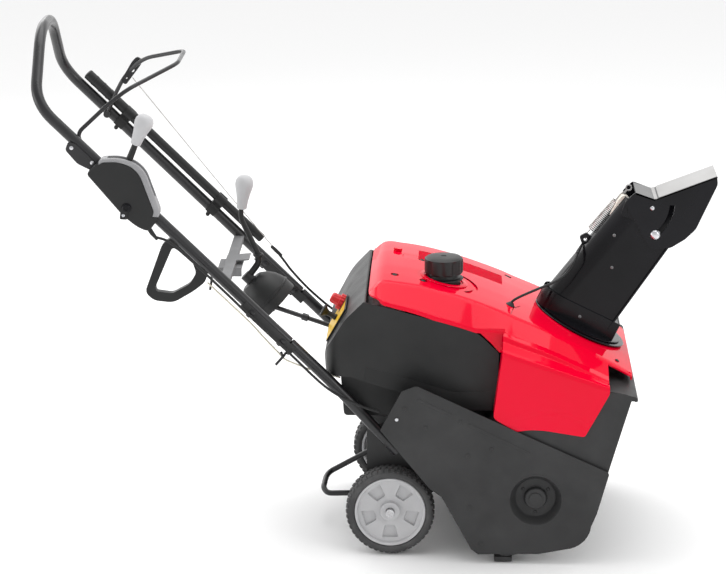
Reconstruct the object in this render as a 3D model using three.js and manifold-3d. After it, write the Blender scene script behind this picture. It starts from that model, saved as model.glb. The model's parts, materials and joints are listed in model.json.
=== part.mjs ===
// Walk-behind single-stage snow blower with a petrol engine, as a tree of named solids.
// Millimetres, +Z up, +X forward (the way the machine drives), +Y to the machine's left.
// Every X below is measured from the wheel axle; the last lines shift the whole machine so
// that the origin is under the middle of its overall length.
import * as THREE from 'three';
import { mergeVertices } from 'three/addons/utils/BufferGeometryUtils.js';
import Module from 'manifold-3d';

const wasm = await Module();
wasm.setup();

// ---- driving dimensions -------------------------------------------------------------
const AXLE_X = 28.5; // axle ahead of the middle of the overall length
const SHEET = 3; // steel sheet and moulded walls
const GAP = 0.4; // clearance between pieces that touch
const RUN = 1.5; // clearance round a piece that turns

const WHEEL_R = 85;
const TYRE_W = 45;
const TYRE_H = 17; // rubber between rim and tread
const WHEEL_Y = 192; // middle of each wheel from the centre line
const AXLE_R = 8;

const PLATE_OUT = 256; // outer face of a side plate
const CHEEK_OUT = 247; // outer face of the auger housing's cheeks
const BACKPLATE_OUT = 227; // outer face of the wall behind the belt
const AUGER = { x: 276, z: 127 };
const AUGER_R = 118;
const AUGER_SHAFT_R = 12;
const ROTOR_TUBE_R = 17;
const SCROLL_R = AUGER_R + 10; // inside of the housing's curved back
const BEARING_R = 44; // dished recess round the auger's end

const CRANK = { x: 75, z: 275 };
const CRANK_R = 12;
const PULLEY_Y = 240; // middle of the belt
const BELT_W = 10;
const BELT_T = 7;
const AUGER_PULLEY_R = 70;
const CRANK_PULLEY_R = 28;
const IDLER_R = 18;

const HANDLE_HALF = 181; // tube centre from the centre line
const TUBE_R = 10.5;
const HANDLE_CORNER = { x: -661, z: 870 };
const GRIP_BAR = { x: -664, z: 989, half: 66 };
const HANDLE_SLOPE = -0.976; // dz/dx of the long straight tubes
const SPLICE = { top: -262, bottom: -195 }; // bolts that join upper and lower tubes

const BODY_HALF = 198; // side of the engine covers
const CREASE_HALF = 155; // edge between the hood's top and its sloping band
const CROWN = 6; // hood rises this much to the middle
const PANEL_OUT = 251; // hood's lower side panels

const CHUTE = { x: 359, z: 398, tilt: THREE.MathUtils.degToRad(25.9) };
const RING_R = 79; // throat under the chute
const CHUTE_HALF = 43; // outer half width of the chute
const CHUTE_PIVOT = { x: 455, z: 657 }; // deflector hinge
const DEFLECTOR_HALF = 48;
const SLOT_R = 78; // radius of the deflector's slot about its hinge

const LEVER_AXIS = { x: -278, z: 485 };
const CAP = { x: 98, y: -75, r: 37.5 };

// ---- materials ----------------------------------------------------------------------
const paint = (color, roughness, metalness = 0) =>
  new THREE.MeshStandardMaterial({ color, roughness, metalness });
const RED = () => paint(0xe0002a, 0.25);
const BLACK_PAINT = () => paint(0x2c2d2f, 0.4, 0.3);
const BLACK_PLASTIC = () => paint(0x2b2c2e, 0.5);
const GLOSS_BLACK = () => paint(0x141518, 0.2);
const GREY_PLASTIC = () => paint(0xb9b9b9, 0.55);
const RUBBER = () => paint(0x3a3a3b, 0.85);
const STEEL = () => paint(0xa8a9ad, 0.35, 0.9);
const ALUMINIUM = () => paint(0x9d9fa3, 0.45, 0.8);
const ROPE = () => paint(0xe9e3d0, 0.9);

// ---- helpers ------------------------------------------------------------------------
const v3 = (x, y, z) => new THREE.Vector3(x, y, z);

function bare(geometry) {
  const g = geometry.clone();
  g.deleteAttribute('normal');
  g.deleteAttribute('uv');
  return mergeVertices(g, 1e-4);
}

function signedVolume(g) {
  const p = g.attributes.position;
  const i = g.index.array;
  const a = v3();
  const b = v3();
  const c = v3();
  let volume = 0;
  for (let k = 0; k < i.length; k += 3) {
    a.fromBufferAttribute(p, i[k]);
    b.fromBufferAttribute(p, i[k + 1]);
    c.fromBufferAttribute(p, i[k + 2]);
    volume += a.dot(b.cross(c)) / 6;
  }
  return volume;
}

// a closed geometry as a manifold solid, its faces pointing outwards
function solid(geometry) {
  const g = bare(geometry);
  if (signedVolume(g) < 0) {
    const i = g.index.array;
    for (let k = 0; k < i.length; k += 3) {
      [i[k], i[k + 1]] = [i[k + 1], i[k]];
    }
  }
  return new wasm.Manifold(new wasm.Mesh({
    numProp: 3,
    vertProperties: new Float32Array(g.attributes.position.array),
    triVerts: new Uint32Array(g.index.array),
  }));
}

function geometryOf(manifold) {
  const mesh = manifold.getMesh();
  const g = new THREE.BufferGeometry();
  g.setAttribute('position', new THREE.BufferAttribute(new Float32Array(mesh.vertProperties), 3));
  g.setIndex(new THREE.BufferAttribute(new Uint32Array(mesh.triVerts), 1));
  g.computeVertexNormals();
  return g;
}

const join = (...parts) => parts.reduce((sum, part) => sum.add(part));
const cut = (body, ...tools) => tools.reduce((rest, tool) => rest.subtract(tool), body);

function box(x0, x1, y0, y1, z0, z1) {
  const g = new THREE.BoxGeometry(x1 - x0, y1 - y0, z1 - z0);
  return solid(g.translate((x0 + x1) / 2, (y0 + y1) / 2, (z0 + z1) / 2));
}

// cylinder along Y
function barrel(x, z, r, y0, y1, sides = 24, r2 = r) {
  const g = new THREE.CylinderGeometry(r2, r, y1 - y0, sides);
  return solid(g.translate(x, (y0 + y1) / 2, z));
}

// cylinder between two points, r2 at the far end
function rod(from, to, r, sides = 16, r2 = r) {
  const along = to.clone().sub(from);
  const g = new THREE.CylinderGeometry(r2, r, along.length(), sides);
  g.applyQuaternion(new THREE.Quaternion().setFromUnitVectors(v3(0, 1, 0), along.clone().normalize()));
  const middle = from.clone().add(to).multiplyScalar(0.5);
  return solid(g.translate(middle.x, middle.y, middle.z));
}

// outline and holes as a shape, all of them running anticlockwise
function shapeOf(points, holes = []) {
  const ring = (list) => {
    const out = list.map(([a, b]) => new THREE.Vector2(a, b));
    return THREE.ShapeUtils.area(out) < 0 ? out.reverse() : out;
  };
  const shape = new THREE.Shape(ring(points));
  shape.holes = holes.map((hole) => new THREE.Path(ring(hole)));
  return shape;
}

// outline in the X-Z plane, extruded along Y
function slab(points, y0, y1, holes = []) {
  const g = new THREE.ExtrudeGeometry(shapeOf(points, holes), { depth: y1 - y0, bevelEnabled: false });
  return solid(g.rotateX(Math.PI / 2).translate(0, y1, 0));
}

// outline in the X-Y plane, extruded along Z
function column(points, z0, z1, holes = []) {
  const g = new THREE.ExtrudeGeometry(shapeOf(points, holes), { depth: z1 - z0, bevelEnabled: false });
  return solid(g.translate(0, 0, z0));
}

// profile of [radius, height] pairs turned round Y
function turned(profile, x, z, segments = 32) {
  const points = profile.map(([r, y]) => new THREE.Vector2(Math.max(r, 0), y));
  return solid(new THREE.LatheGeometry(points, segments).translate(x, 0, z));
}

const closed = (profile) => [...profile, profile[0]];

function arc(x, z, r, from, to, steps) {
  const points = [];
  for (let i = 0; i <= steps; i += 1) {
    const a = THREE.MathUtils.degToRad(from + ((to - from) * i) / steps);
    points.push([x + r * Math.cos(a), z + r * Math.sin(a)]);
  }
  return points;
}

// 2-D outline with its corners rounded
function rounded(points, radius, steps = 3) {
  const out = [];
  const n = points.length;
  points.forEach((p, i) => {
    const here = new THREE.Vector2(...p);
    const before = new THREE.Vector2(...points[(i + n - 1) % n]).sub(here);
    const after = new THREE.Vector2(...points[(i + 1) % n]).sub(here);
    const r = Math.min(radius, before.length() / 2.2, after.length() / 2.2);
    const a = here.clone().add(before.setLength(r));
    const b = here.clone().add(after.setLength(r));
    const curve = new THREE.QuadraticBezierCurve(a, here, b);
    curve.getPoints(steps).forEach((q) => out.push([q.x, q.y]));
  });
  return out;
}

// a path through listed points, with a section at each of them
class ListedPath extends THREE.Curve {
  constructor(points) {
    super();
    this.points = points;
  }

  getPoint(t, target = v3()) {
    const last = this.points.length - 1;
    const at = Math.min(last, Math.max(0, t * last));
    const i = Math.min(last - 1, Math.floor(at));
    return target.copy(this.points[i]).lerp(this.points[i + 1], at - i);
  }

  getPointAt(u, target) {
    return this.getPoint(u, target);
  }

  getTangentAt(u, target = v3()) {
    const last = this.points.length - 1;
    const i = Math.round(u * last);
    const next = this.points[Math.min(last, i + 1)].clone().sub(this.points[i]);
    const prev = this.points[i].clone().sub(this.points[Math.max(0, i - 1)]);
    return target.copy(next.normalize().add(prev.normalize())).normalize();
  }
}

// polyline with its inner corners turned into bends
function bent(points, radius, steps = 4) {
  const out = [points[0].clone()];
  for (let i = 1; i < points.length - 1; i += 1) {
    const before = points[i - 1].clone().sub(points[i]);
    const after = points[i + 1].clone().sub(points[i]);
    const r = Math.min(radius, before.length() / 2.1, after.length() / 2.1);
    const a = points[i].clone().add(before.setLength(r));
    const b = points[i].clone().add(after.setLength(r));
    out.push(...new THREE.QuadraticBezierCurve3(a, points[i], b).getPoints(steps));
  }
  out.push(points[points.length - 1].clone());
  return out;
}

function tube(points, r, sides = 10) {
  const section = new THREE.Shape(arc(0, 0, r, 0, 360 - 360 / sides, sides - 1)
    .map(([a, b]) => new THREE.Vector2(a, b)));
  return solid(new THREE.ExtrudeGeometry(section, {
    steps: points.length - 1,
    bevelEnabled: false,
    extrudePath: new ListedPath(points),
  }));
}

// skin between rings of equal length, each ring a closed section given as 3-D points
function loft(rings, flat) {
  const n = rings[0].length;
  const position = rings.flat().flatMap((p) => [p.x, p.y, p.z]);
  const index = [];
  for (let k = 0; k < rings.length - 1; k += 1) {
    for (let i = 0; i < n; i += 1) {
      const a = k * n + i;
      const b = k * n + ((i + 1) % n);
      index.push(a, b, b + n, a, b + n, a + n);
    }
  }
  const cap = (ring, base, flip) => {
    for (const t of THREE.ShapeUtils.triangulateShape(ring.map(flat), [])) {
      const [a, b, c] = t.map((i) => base + i);
      index.push(...(flip ? [a, c, b] : [a, b, c]));
    }
  };
  const turnedLeft = THREE.ShapeUtils.area(rings[0].map(flat)) > 0;
  cap(rings[0], 0, turnedLeft);
  cap(rings[rings.length - 1], (rings.length - 1) * n, !turnedLeft);
  const g = new THREE.BufferGeometry();
  g.setAttribute('position', new THREE.Float32BufferAttribute(position, 3));
  g.setIndex(index);
  return solid(g);
}

const machine = new THREE.Group();

function add(name, body, material) {
  const mesh = new THREE.Mesh(geometryOf(body), material);
  mesh.name = name;
  machine.add(mesh);
  return mesh;
}

const mirrorY = (body) => body.mirror([0, 1, 0]);

// height between listed [x, z] stations
function along(stations, x) {
  const ahead = stations.findIndex(([sx]) => sx >= x);
  const k = ahead < 0 ? stations.length - 1 : Math.max(1, ahead);
  const [x0, z0] = stations[k - 1];
  const [x1, z1] = stations[k];
  return z0 + ((z1 - z0) * (x - x0)) / (x1 - x0);
}

// ---- side plates --------------------------------------------------------------------
const plateOutline = [
  [-18, 263], [22, 340], ...arc(49, 336, 14, 120, 60, 3), [246, 260], [411, 185], [413, 180],
  [392, 102], ...arc(330, 82, 52, -5, -75, 5), [284, 20], [168, 18], [155, 28], [98, 132], [76, 148],
];
const bearingHole = arc(AUGER.x, AUGER.z, BEARING_R, 0, 342, 19);
const plateRight = slab(plateOutline, -PLATE_OUT, -PLATE_OUT + SHEET, [bearingHole]);
const plateLeft = slab(plateOutline, PLATE_OUT - SHEET, PLATE_OUT);
add('side_plate_right', plateRight, BLACK_PAINT());
add('side_plate_left', plateLeft, BLACK_PAINT());

// ---- auger housing ------------------------------------------------------------------
const ROOF_REAR = { x: 243, z: 352 };
const ROOF_FRONT = { x: 440, z: 335 };
const LIP = { x: 463, z: 327, drop: 8 };
const scroll = (r) => arc(AUGER.x, AUGER.z, r, 242, 155, 9);
const housingSkin = [
  ...scroll(SCROLL_R),
  [ROOF_REAR.x, ROOF_REAR.z], [ROOF_FRONT.x, ROOF_FRONT.z], [LIP.x - SHEET, LIP.z - 1],
  [LIP.x - SHEET, LIP.z - LIP.drop], [LIP.x, LIP.z - LIP.drop], [LIP.x, LIP.z + SHEET],
  [ROOF_FRONT.x + 1, ROOF_FRONT.z + SHEET], [ROOF_REAR.x - 3, ROOF_REAR.z + SHEET],
  ...scroll(SCROLL_R + SHEET).reverse(),
];
const cheekOutline = [
  [222, 12], ...arc(AUGER.x, AUGER.z, SCROLL_R + 1, 242, 155, 6), [ROOF_REAR.x - 2, ROOF_REAR.z + 2],
  [ROOF_FRONT.x, ROOF_FRONT.z + 2], [LIP.x - 1, LIP.z], [LIP.x - 1, LIP.z - LIP.drop + 1], [452, LIP.z - LIP.drop + 1],
  [413, 186], [392, 102], [364, 58], [312, 34], [284, 24],
];
const cheek = (y0, y1, holes) => slab(cheekOutline, y0, y1, holes);
const throatTool = (r, from, to) => {
  const c = v3(CHUTE.x, 0, CHUTE.z);
  const n = v3(Math.sin(CHUTE.tilt), 0, Math.cos(CHUTE.tilt));
  return rod(c.clone().addScaledVector(n, from), c.clone().addScaledVector(n, to), r, 24);
};
const cheekHole = arc(AUGER.x, AUGER.z, BEARING_R + 2, 0, 342, 19);
const housing = join(
  slab(housingSkin, -CHEEK_OUT + SHEET, CHEEK_OUT - SHEET),
  cheek(-CHEEK_OUT, -CHEEK_OUT + SHEET, [cheekHole]),
);
const leftCheek = cut(cheek(CHEEK_OUT - SHEET, CHEEK_OUT, []), slab([
  [100, 0], [420, 0], [420, 160], [430, 205], [240, 285], [100, 300],
], CHEEK_OUT - 20, CHEEK_OUT + 10));
const housingRight = box(100, 470, -CHEEK_OUT - 1, BACKPLATE_OUT + GAP, 0, 400);
const housingLeftTop = slab([
  [100, 300], [240, 285], [430, 205], [500, 205], [500, 400], [100, 400],
], BACKPLATE_OUT, CHEEK_OUT + 1);
const housingWhole = join(housing, leftCheek).intersect(join(housingRight, housingLeftTop));
add('auger_housing', cut(housingWhole, throatTool(RING_R - SHEET, -120, 10),
  box(100, 470, BACKPLATE_OUT - SHEET - GAP, BACKPLATE_OUT + GAP, 0, 292)), BLACK_PAINT());

const backplateOutline = [
  [212, 14], ...arc(AUGER.x, AUGER.z, SCROLL_R + SHEET + 2, 240, 200, 3), [98, 136], [78, 152],
  [-8, 264], [26, 333], [52, 340], [150, 296], [236, 282], [404, 186], [404, 176], [384, 104], [360, 62],
  [312, 34], [284, 24],
];
add('belt_backplate', slab(backplateOutline, BACKPLATE_OUT - SHEET, BACKPLATE_OUT, [
  arc(AUGER.x, AUGER.z, AUGER_SHAFT_R + 6, 0, 330, 11),
  arc(CRANK.x, CRANK.z, CRANK_R + 5, 0, 330, 11),
]), BLACK_PAINT());

const SCRAPER_X = 216;
add('scraper_bar', box(SCRAPER_X - 17, SCRAPER_X + 17, -CHEEK_OUT, CHEEK_OUT, 0.5, 10.5), RUBBER());

// ---- auger --------------------------------------------------------------------------
const dish = [
  [BEARING_R + 16, -PLATE_OUT + SHEET + GAP], [BEARING_R - 0.5, -PLATE_OUT + SHEET + GAP],
  [36, -232], [AUGER_SHAFT_R + RUN, -232], [AUGER_SHAFT_R + RUN, -226], [22, -226], [22, -229],
  [39, -229], [BEARING_R + 1, -CHEEK_OUT - 0.6], [BEARING_R + 16, -CHEEK_OUT - 0.6],
];
add('auger_bearing_right', turned(closed(dish), AUGER.x, AUGER.z, 20), BLACK_PAINT());
add('auger_bearing_left', turned(closed([
  [AUGER_SHAFT_R + GAP, 214], [30, 214], [36, BACKPLATE_OUT - SHEET - GAP],
  [AUGER_SHAFT_R + GAP, BACKPLATE_OUT - SHEET - GAP],
]), AUGER.x, AUGER.z, 24), ALUMINIUM());
add('auger_shaft', barrel(AUGER.x, AUGER.z, AUGER_SHAFT_R, -246, 251, 20), STEEL());

const PADDLE_T = 7;
const ROTOR_END = { right: -221, left: 208 };
function paddleRing(y, start) {
  const away = Math.max(0, Math.abs(y) - 55);
  const twist = start + Math.sign(y) * 0 + away * 0.0085;
  const radii = [ROTOR_TUBE_R - 4, 45, 72, 97, AUGER_R];
  const edge = (r, side) => {
    const lean = twist - 0.55 * (r / AUGER_R) ** 2 + (side * PADDLE_T) / 2 / r;
    return v3(AUGER.x + r * Math.cos(lean), y, AUGER.z + r * Math.sin(lean));
  };
  return [...radii.map((r) => edge(r, 1)), ...radii.slice().reverse().map((r) => edge(r, -1))];
}
const rotorStations = [-221, -180, -138, -97, -55, 0, 55, 93, 132, 170, 208];
const paddle = (start) => loft(rotorStations.map((y) => paddleRing(y, start)), (p) => new THREE.Vector2(p.x, p.z));
const rotorTube = cut(
  barrel(AUGER.x, AUGER.z, ROTOR_TUBE_R, ROTOR_END.right, ROTOR_END.left, 20),
  barrel(AUGER.x, AUGER.z, AUGER_SHAFT_R + GAP, -260, 260, 20),
);
const paddles = cut(join(paddle(0.6), paddle(0.6 + Math.PI)), barrel(AUGER.x, AUGER.z, AUGER_SHAFT_R + GAP, -260, 260, 20));
add('auger_rotor', join(rotorTube, paddles), RUBBER());

// ---- belt drive ---------------------------------------------------------------------
const grooved = (r, bore, y) => turned(closed([
  [bore, y - 8], [r + BELT_T - 2, y - 8], [r - 0.5, y - 3], [r - 0.5, y + 3], [r + BELT_T - 2, y + 8], [bore, y + 8],
]), 0, 0, 20);
const pulley = (at, r, bore) => grooved(r, bore, PULLEY_Y).translate([at.x, 0, at.z]);
add('auger_pulley', pulley(AUGER, AUGER_PULLEY_R - BELT_T, AUGER_SHAFT_R + GAP), ALUMINIUM());

// outline of the belt round both pulleys, extra beyond their rims
function beltLoop(extra) {
  const dx = AUGER.x - CRANK.x;
  const dz = AUGER.z - CRANK.z;
  const axis = THREE.MathUtils.radToDeg(Math.atan2(dz, dx));
  const lap = THREE.MathUtils.radToDeg(Math.acos((AUGER_PULLEY_R - CRANK_PULLEY_R) / Math.hypot(dx, dz)));
  return [
    ...arc(AUGER.x, AUGER.z, AUGER_PULLEY_R + extra, axis - (180 - lap), axis + (180 - lap), 20),
    ...arc(CRANK.x, CRANK.z, CRANK_PULLEY_R + extra, axis + (180 - lap), axis + 180 + lap, 10),
  ];
}
add('drive_belt', cut(
  slab(beltLoop(BELT_T), PULLEY_Y - BELT_W / 2, PULLEY_Y + BELT_W / 2),
  slab(beltLoop(GAP), PULLEY_Y - BELT_W, PULLEY_Y + BELT_W),
  pulley(AUGER, AUGER_PULLEY_R - BELT_T + 1.2, 5), pulley(CRANK, CRANK_PULLEY_R - BELT_T + 1.2, 5),
), RUBBER());

const IDLER_PIVOT = { x: 96, z: 176 };
const IDLER_AT = { x: 141.5, z: 124 };
const idlerPulley = turned(closed([
  [4, 233], [IDLER_R, 233], [IDLER_R - 2, 236], [IDLER_R - 2, 244], [IDLER_R, 247], [4, 247],
]), IDLER_AT.x, IDLER_AT.z, 24);
add('idler_arm', cut(join(
  idlerPulley,
  slab([
    [IDLER_PIVOT.x - 7, IDLER_PIVOT.z - 7], [IDLER_AT.x - 5, IDLER_AT.z - 5],
    [IDLER_AT.x + 5, IDLER_AT.z + 5], [IDLER_PIVOT.x + 7, IDLER_PIVOT.z + 7],
  ], 229, 232),
  barrel(IDLER_PIVOT.x, IDLER_PIVOT.z, 9, 229, 236, 16), barrel(IDLER_AT.x, IDLER_AT.z, 5, 231, 248, 16),
), barrel(IDLER_PIVOT.x, IDLER_PIVOT.z, 4, 220, 250, 12)), STEEL());

// ---- engine -------------------------------------------------------------------------
const FRAME_TOP = 200;
const CASE = { x0: 10, x1: 140, y0: -88, y1: 118, z1: 336 };
const airBox = slab(rounded([[-66, 356], [34, 356], [34, 430], [-50, 446], [-66, 430]], 10, 2), -40, 60);
const caseBody = join(
  airBox,
  box(CASE.x0, CASE.x1, CASE.y0, CASE.y1, FRAME_TOP + GAP, CASE.z1),
  box(32, 118, -48, 62, CASE.z1 - 2, 402),
  ...[346, 358, 370, 382, 394].map((z) => box(26, 124, -54, 68, z, z + 4)),
  box(30, 120, -52, 66, 401, 428),
);
add('engine_block', cut(caseBody, barrel(CRANK.x, CRANK.z, CRANK_R + GAP, -100, 130, 20)), ALUMINIUM());
add('crankshaft', join(
  barrel(CRANK.x, CRANK.z, CRANK_R, -128, 250, 20),
  pulley(CRANK, CRANK_PULLEY_R - BELT_T, CRANK_R - 1),
  turned(closed([
    [CRANK_R - 1, -127], [CRANK_R - 1, -108], [55, -108], [60, -98], [68, -98], [68, -116], [57, -127],
  ]), CRANK.x, CRANK.z, 32),
), STEEL());
add('recoil_cover', turned([
  [0, -148], [52, -148], [64, -138], [74, -118], [74, -94], [70.5, -94], [70.5, -117], [61, -134], [50, -144],
  [0, -144],
], CRANK.x, CRANK.z, 24), BLACK_PLASTIC());
add('muffler', slab(rounded([[88, 346], [160, 346], [168, 372], [160, 420], [88, 420]], 12, 2), 74, 150), STEEL());

const crease = [
  [-44, 506], [-19, 526], [15, 524], [54, 518], [99, 507], [149, 492], [206, 471], [240, 456], [288, 436],
  [320, 421], [411, 375], [452, 352],
];
const bandDrop = [[-44, 5], [-12, 30], [81, 42], [160, 42], [195, 30], [411, 22], [452, 16]];
const bandZ = (x) => along(crease, x) - along(bandDrop, x);
const hoodZ = (x, y) => along(crease, x) + CROWN * (1 - (y / CREASE_HALF) ** 2);
const tankTop = hoodZ(CAP.x, CAP.y) - 22;
const NECK_R = 28;
const neckTop = hoodZ(CAP.x, CAP.y) + 38;
add('fuel_tank', join(
  slab(rounded([[28, 440], [160, 440], [160, tankTop - 20], [CAP.x + 34, tankTop], [28, tankTop + 8]], 10, 2), -150, -20),
  rod(v3(CAP.x, CAP.y, tankTop - 4), v3(CAP.x, CAP.y, neckTop), NECK_R, 20),
), BLACK_PLASTIC());
const capSkirt = hoodZ(CAP.x, CAP.y) + 12;
const capTop = hoodZ(CAP.x, CAP.y) + 45;
add('fuel_cap', cut(
  join(
    rod(v3(CAP.x, CAP.y, capSkirt), v3(CAP.x, CAP.y, capTop), CAP.r, 20),
    ...[0, 1, 2, 3, 4, 5, 6, 7].map((i) => {
      const a = (i * Math.PI) / 4;
      const x = CAP.x + (CAP.r - 2) * Math.cos(a);
      const y = CAP.y + (CAP.r - 2) * Math.sin(a);
      return rod(v3(x, y, capSkirt), v3(x, y, capTop - 3), 5, 6);
    }),
  ),
  rod(v3(CAP.x, CAP.y, capSkirt - 1), v3(CAP.x, CAP.y, neckTop + 2), NECK_R + RUN, 20),
), BLACK_PLASTIC());

// ---- engine frame, axle, wheels -----------------------------------------------------
const CHEEK_Y = 163;
const cradleCheek = [
  [-46, 236], [10, FRAME_TOP + 60], [120, FRAME_TOP + 20], [138, FRAME_TOP - 4], [120, 150], [34, 62], [-24, 62], [-46, 150],
];
const axleHole = (y0, y1) => barrel(0, WHEEL_R, AXLE_R + GAP, y0, y1, 20);
add('engine_frame', cut(join(
  box(-44, 136, -CHEEK_Y, CHEEK_Y, FRAME_TOP - 4, FRAME_TOP),
  slab(cradleCheek, -CHEEK_Y, -CHEEK_Y + 4), slab(cradleCheek, CHEEK_Y - 4, CHEEK_Y),
  box(-46, -42, -CHEEK_Y, CHEEK_Y, 104, FRAME_TOP),
), axleHole(-200, 200)), BLACK_PAINT());
add('axle', barrel(0, WHEEL_R, AXLE_R, -220, 220, 20), STEEL());

const RIM_R = WHEEL_R - TYRE_H;
const tyreProfile = [
  [RIM_R + GAP, -TYRE_W / 2 + 3], [RIM_R + 6, -TYRE_W / 2], [WHEEL_R - 5, -TYRE_W / 2], [WHEEL_R, -TYRE_W / 2 + 7],
  [WHEEL_R, TYRE_W / 2 - 7], [WHEEL_R - 5, TYRE_W / 2], [RIM_R + 6, TYRE_W / 2], [RIM_R + GAP, TYRE_W / 2 - 3],
];
const rimProfile = [
  [AXLE_R + GAP, -18], [17, -18], [17, -9], [RIM_R - 7, -9], [RIM_R - 4, -19], [RIM_R, -19], [RIM_R, 19],
  [RIM_R - 4, 19], [RIM_R - 7, -5], [17, -5], [17, 18], [AXLE_R + GAP, 18],
];
const POCKETS = 5;
function rimBody() {
  const holes = Array.from({ length: POCKETS }, (_, i) => {
    const a = (i * 2 * Math.PI) / POCKETS - Math.PI / 2;
    return slab(rounded([
      [26, -6], [26, 6], [50, 17], [56, 10], [56, -10], [50, -17],
    ].map(([r, t]) => [r * Math.cos(a) - t * Math.sin(a), r * Math.sin(a) + t * Math.cos(a)]), 4, 1), -12, -7.5);
  });
  return cut(turned(closed(rimProfile), 0, 0, 21), ...holes);
}
for (const [name, side] of [['right', -1], ['left', 1]]) {
  const place = (body) => (side < 0 ? body : mirrorY(body)).translate([0, side * WHEEL_Y, WHEEL_R]);
  add(`tyre_${name}`, place(turned(closed(tyreProfile), 0, 0, 28)), RUBBER());
  add(`rim_${name}`, place(rimBody()), GREY_PLASTIC());
}

const STAND_R = 5.5;
add('rear_stand_bar', tube(bent([
  v3(-48, 37, 124), v3(-126, 37, 80), v3(-133, 20, 76), v3(-137, -22, 66), v3(-128, -37, 60), v3(-49, -37, 62),
  v3(-30, -37, 70), v3(-30, -37, 92),
], 16), STAND_R, 8).subtract(box(-50, -10, -60, 60, 88, 140)).subtract(box(-46.6, -41, -60, 60, 100, 140)), BLACK_PAINT());

// ---- handle -------------------------------------------------------------------------
const handleZ = (x) => HANDLE_CORNER.z + HANDLE_SLOPE * (x - HANDLE_CORNER.x);
const LOWER_BEND = { x: -96, z: 318 };
const LOWER_END = { x: 14, z: 196 };
const lowerTube = (y) => tube([
  v3(SPLICE.bottom + 4, y, handleZ(SPLICE.bottom + 4)), v3(LOWER_BEND.x - 14, y, handleZ(LOWER_BEND.x - 14)),
  v3(LOWER_BEND.x + 12, y, LOWER_BEND.z - 13), v3(LOWER_END.x, y, LOWER_END.z),
], TUBE_R, 14);
add('handle_tube_right', lowerTube(-HANDLE_HALF), BLACK_PAINT());
add('handle_tube_left', lowerTube(HANDLE_HALF), BLACK_PAINT());

const upperStart = SPLICE.bottom + 3;
add('upper_handle', tube(bent([
  v3(upperStart, -HANDLE_HALF, handleZ(upperStart)), v3(HANDLE_CORNER.x, -HANDLE_HALF, HANDLE_CORNER.z),
  v3(GRIP_BAR.x, -GRIP_BAR.half, GRIP_BAR.z), v3(GRIP_BAR.x, GRIP_BAR.half, GRIP_BAR.z),
  v3(HANDLE_CORNER.x, HANDLE_HALF, HANDLE_CORNER.z), v3(upperStart, HANDLE_HALF, handleZ(upperStart)),
], 42, 4), TUBE_R, 12), BLACK_PAINT());

// channel that wraps the underside of both tubes where they meet
function splice(y) {
  const x0 = SPLICE.top - 12;
  const x1 = SPLICE.bottom + 14;
  const drop = (x, d) => [x - d * 0.698, handleZ(x) - d * 0.716];
  const outline = [drop(x0, -4), drop(x1, -4), drop(x1, 15), drop(x0, 15)];
  const channel = slab(outline, y - TUBE_R - 3.5, y + TUBE_R + 3.5);
  const run = [v3(x0 - 20, y, handleZ(x0 - 20)), v3(x1 + 20, y, handleZ(x1 + 20))];
  const groove = rod(run[0], run[1], TUBE_R + GAP, 20);
  const slot = slab([drop(x0 - 5, -20), drop(x1 + 5, -20), drop(x1 + 5, 0), drop(x0 - 5, 0)],
    y - TUBE_R - GAP, y + TUBE_R + GAP);
  return cut(channel, groove, slot);
}
add('handle_joint_right', splice(-HANDLE_HALF), BLACK_PAINT());
add('handle_joint_left', splice(HANDLE_HALF), BLACK_PAINT());

// ---- clutch bail --------------------------------------------------------------------
const BAIL_R = 4;
const BAIL_PIVOT = { x: -573, z: 779 };
const bailInner = HANDLE_HALF - TUBE_R - BAIL_R - GAP;
const bail = tube(bent([
  v3(BAIL_PIVOT.x, -bailInner, BAIL_PIVOT.z), v3(-588, -bailInner + 2, 808), v3(-526, -150, 865), v3(-493, -140, 889),
  v3(-407, -67, 925), v3(-407, 67, 925), v3(-486, 115, 902), v3(-510, 132, 885), v3(-536, 150, 856),
  v3(-557, 162, 817), v3(BAIL_PIVOT.x, bailInner, BAIL_PIVOT.z),
], 16, 2), BAIL_R, 8);
const BRACKET = v3(-520, 138, 872);
const bailBracket = cut(
  slab(rounded([[-536, 850], [-524, 846], [-504, 888], [-512, 896]], 6, 2), 136, 142),
  barrel(BRACKET.x, BRACKET.z - 2, 5, 130, 150, 12),
);
const HUB_OUT = HANDLE_HALF - TUBE_R - GAP;
const HUB_LONG = 12;
const bailHub = (side) => {
  const ends = [side * (HUB_OUT - HUB_LONG), side * HUB_OUT].sort((a, b) => a - b);
  return barrel(BAIL_PIVOT.x, BAIL_PIVOT.z, 7, ends[0], ends[1], 14);
};
add('clutch_bail', join(bail, bailBracket, bailHub(-1), bailHub(1)), BLACK_PAINT());

// ---- control box and deflector lever on the right tube ------------------------------
const BOX_Y = { outer: -226, inner: -HANDLE_HALF - TUBE_R - GAP - 0.6 };
const boxOutline = [
  [-564, 746], [-544, 763], [-536, 774], [-504, 776], [-473, 767], [-454, 749], [-428, 674], [-433, 658],
  [-450, 636], [-471, 645], [-496, 665],
];
const lidRegion = (grow) => [
  [-541, 762], [-534, 768], [-505, 770], [-477, 761], [-459, 745], [-433, 672], [-400, 672], [-400, 800], [-541, 800],
].map(([x, z]) => [x - grow, z - grow]);
const boxInside = slab([
  [-556, 744], [-536, 762], [-505, 764], [-480, 756], [-464, 742], [-440, 674], [-453, 646], [-470, 652], [-497, 672],
], BOX_Y.outer + SHEET, BOX_Y.inner - SHEET);
const LEVER_Y = (BOX_Y.outer + BOX_Y.inner) / 2;
const LEVER_PIVOT = { x: -509, z: 711 };
const leverSlot = slab([
  [-509, 711], [-495, 800], [-440, 800], [-400, 760], [-405, 708],
], LEVER_Y - 7.5, LEVER_Y + 7.5);
const boxSolid = slab(boxOutline, BOX_Y.outer, BOX_Y.inner);
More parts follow.
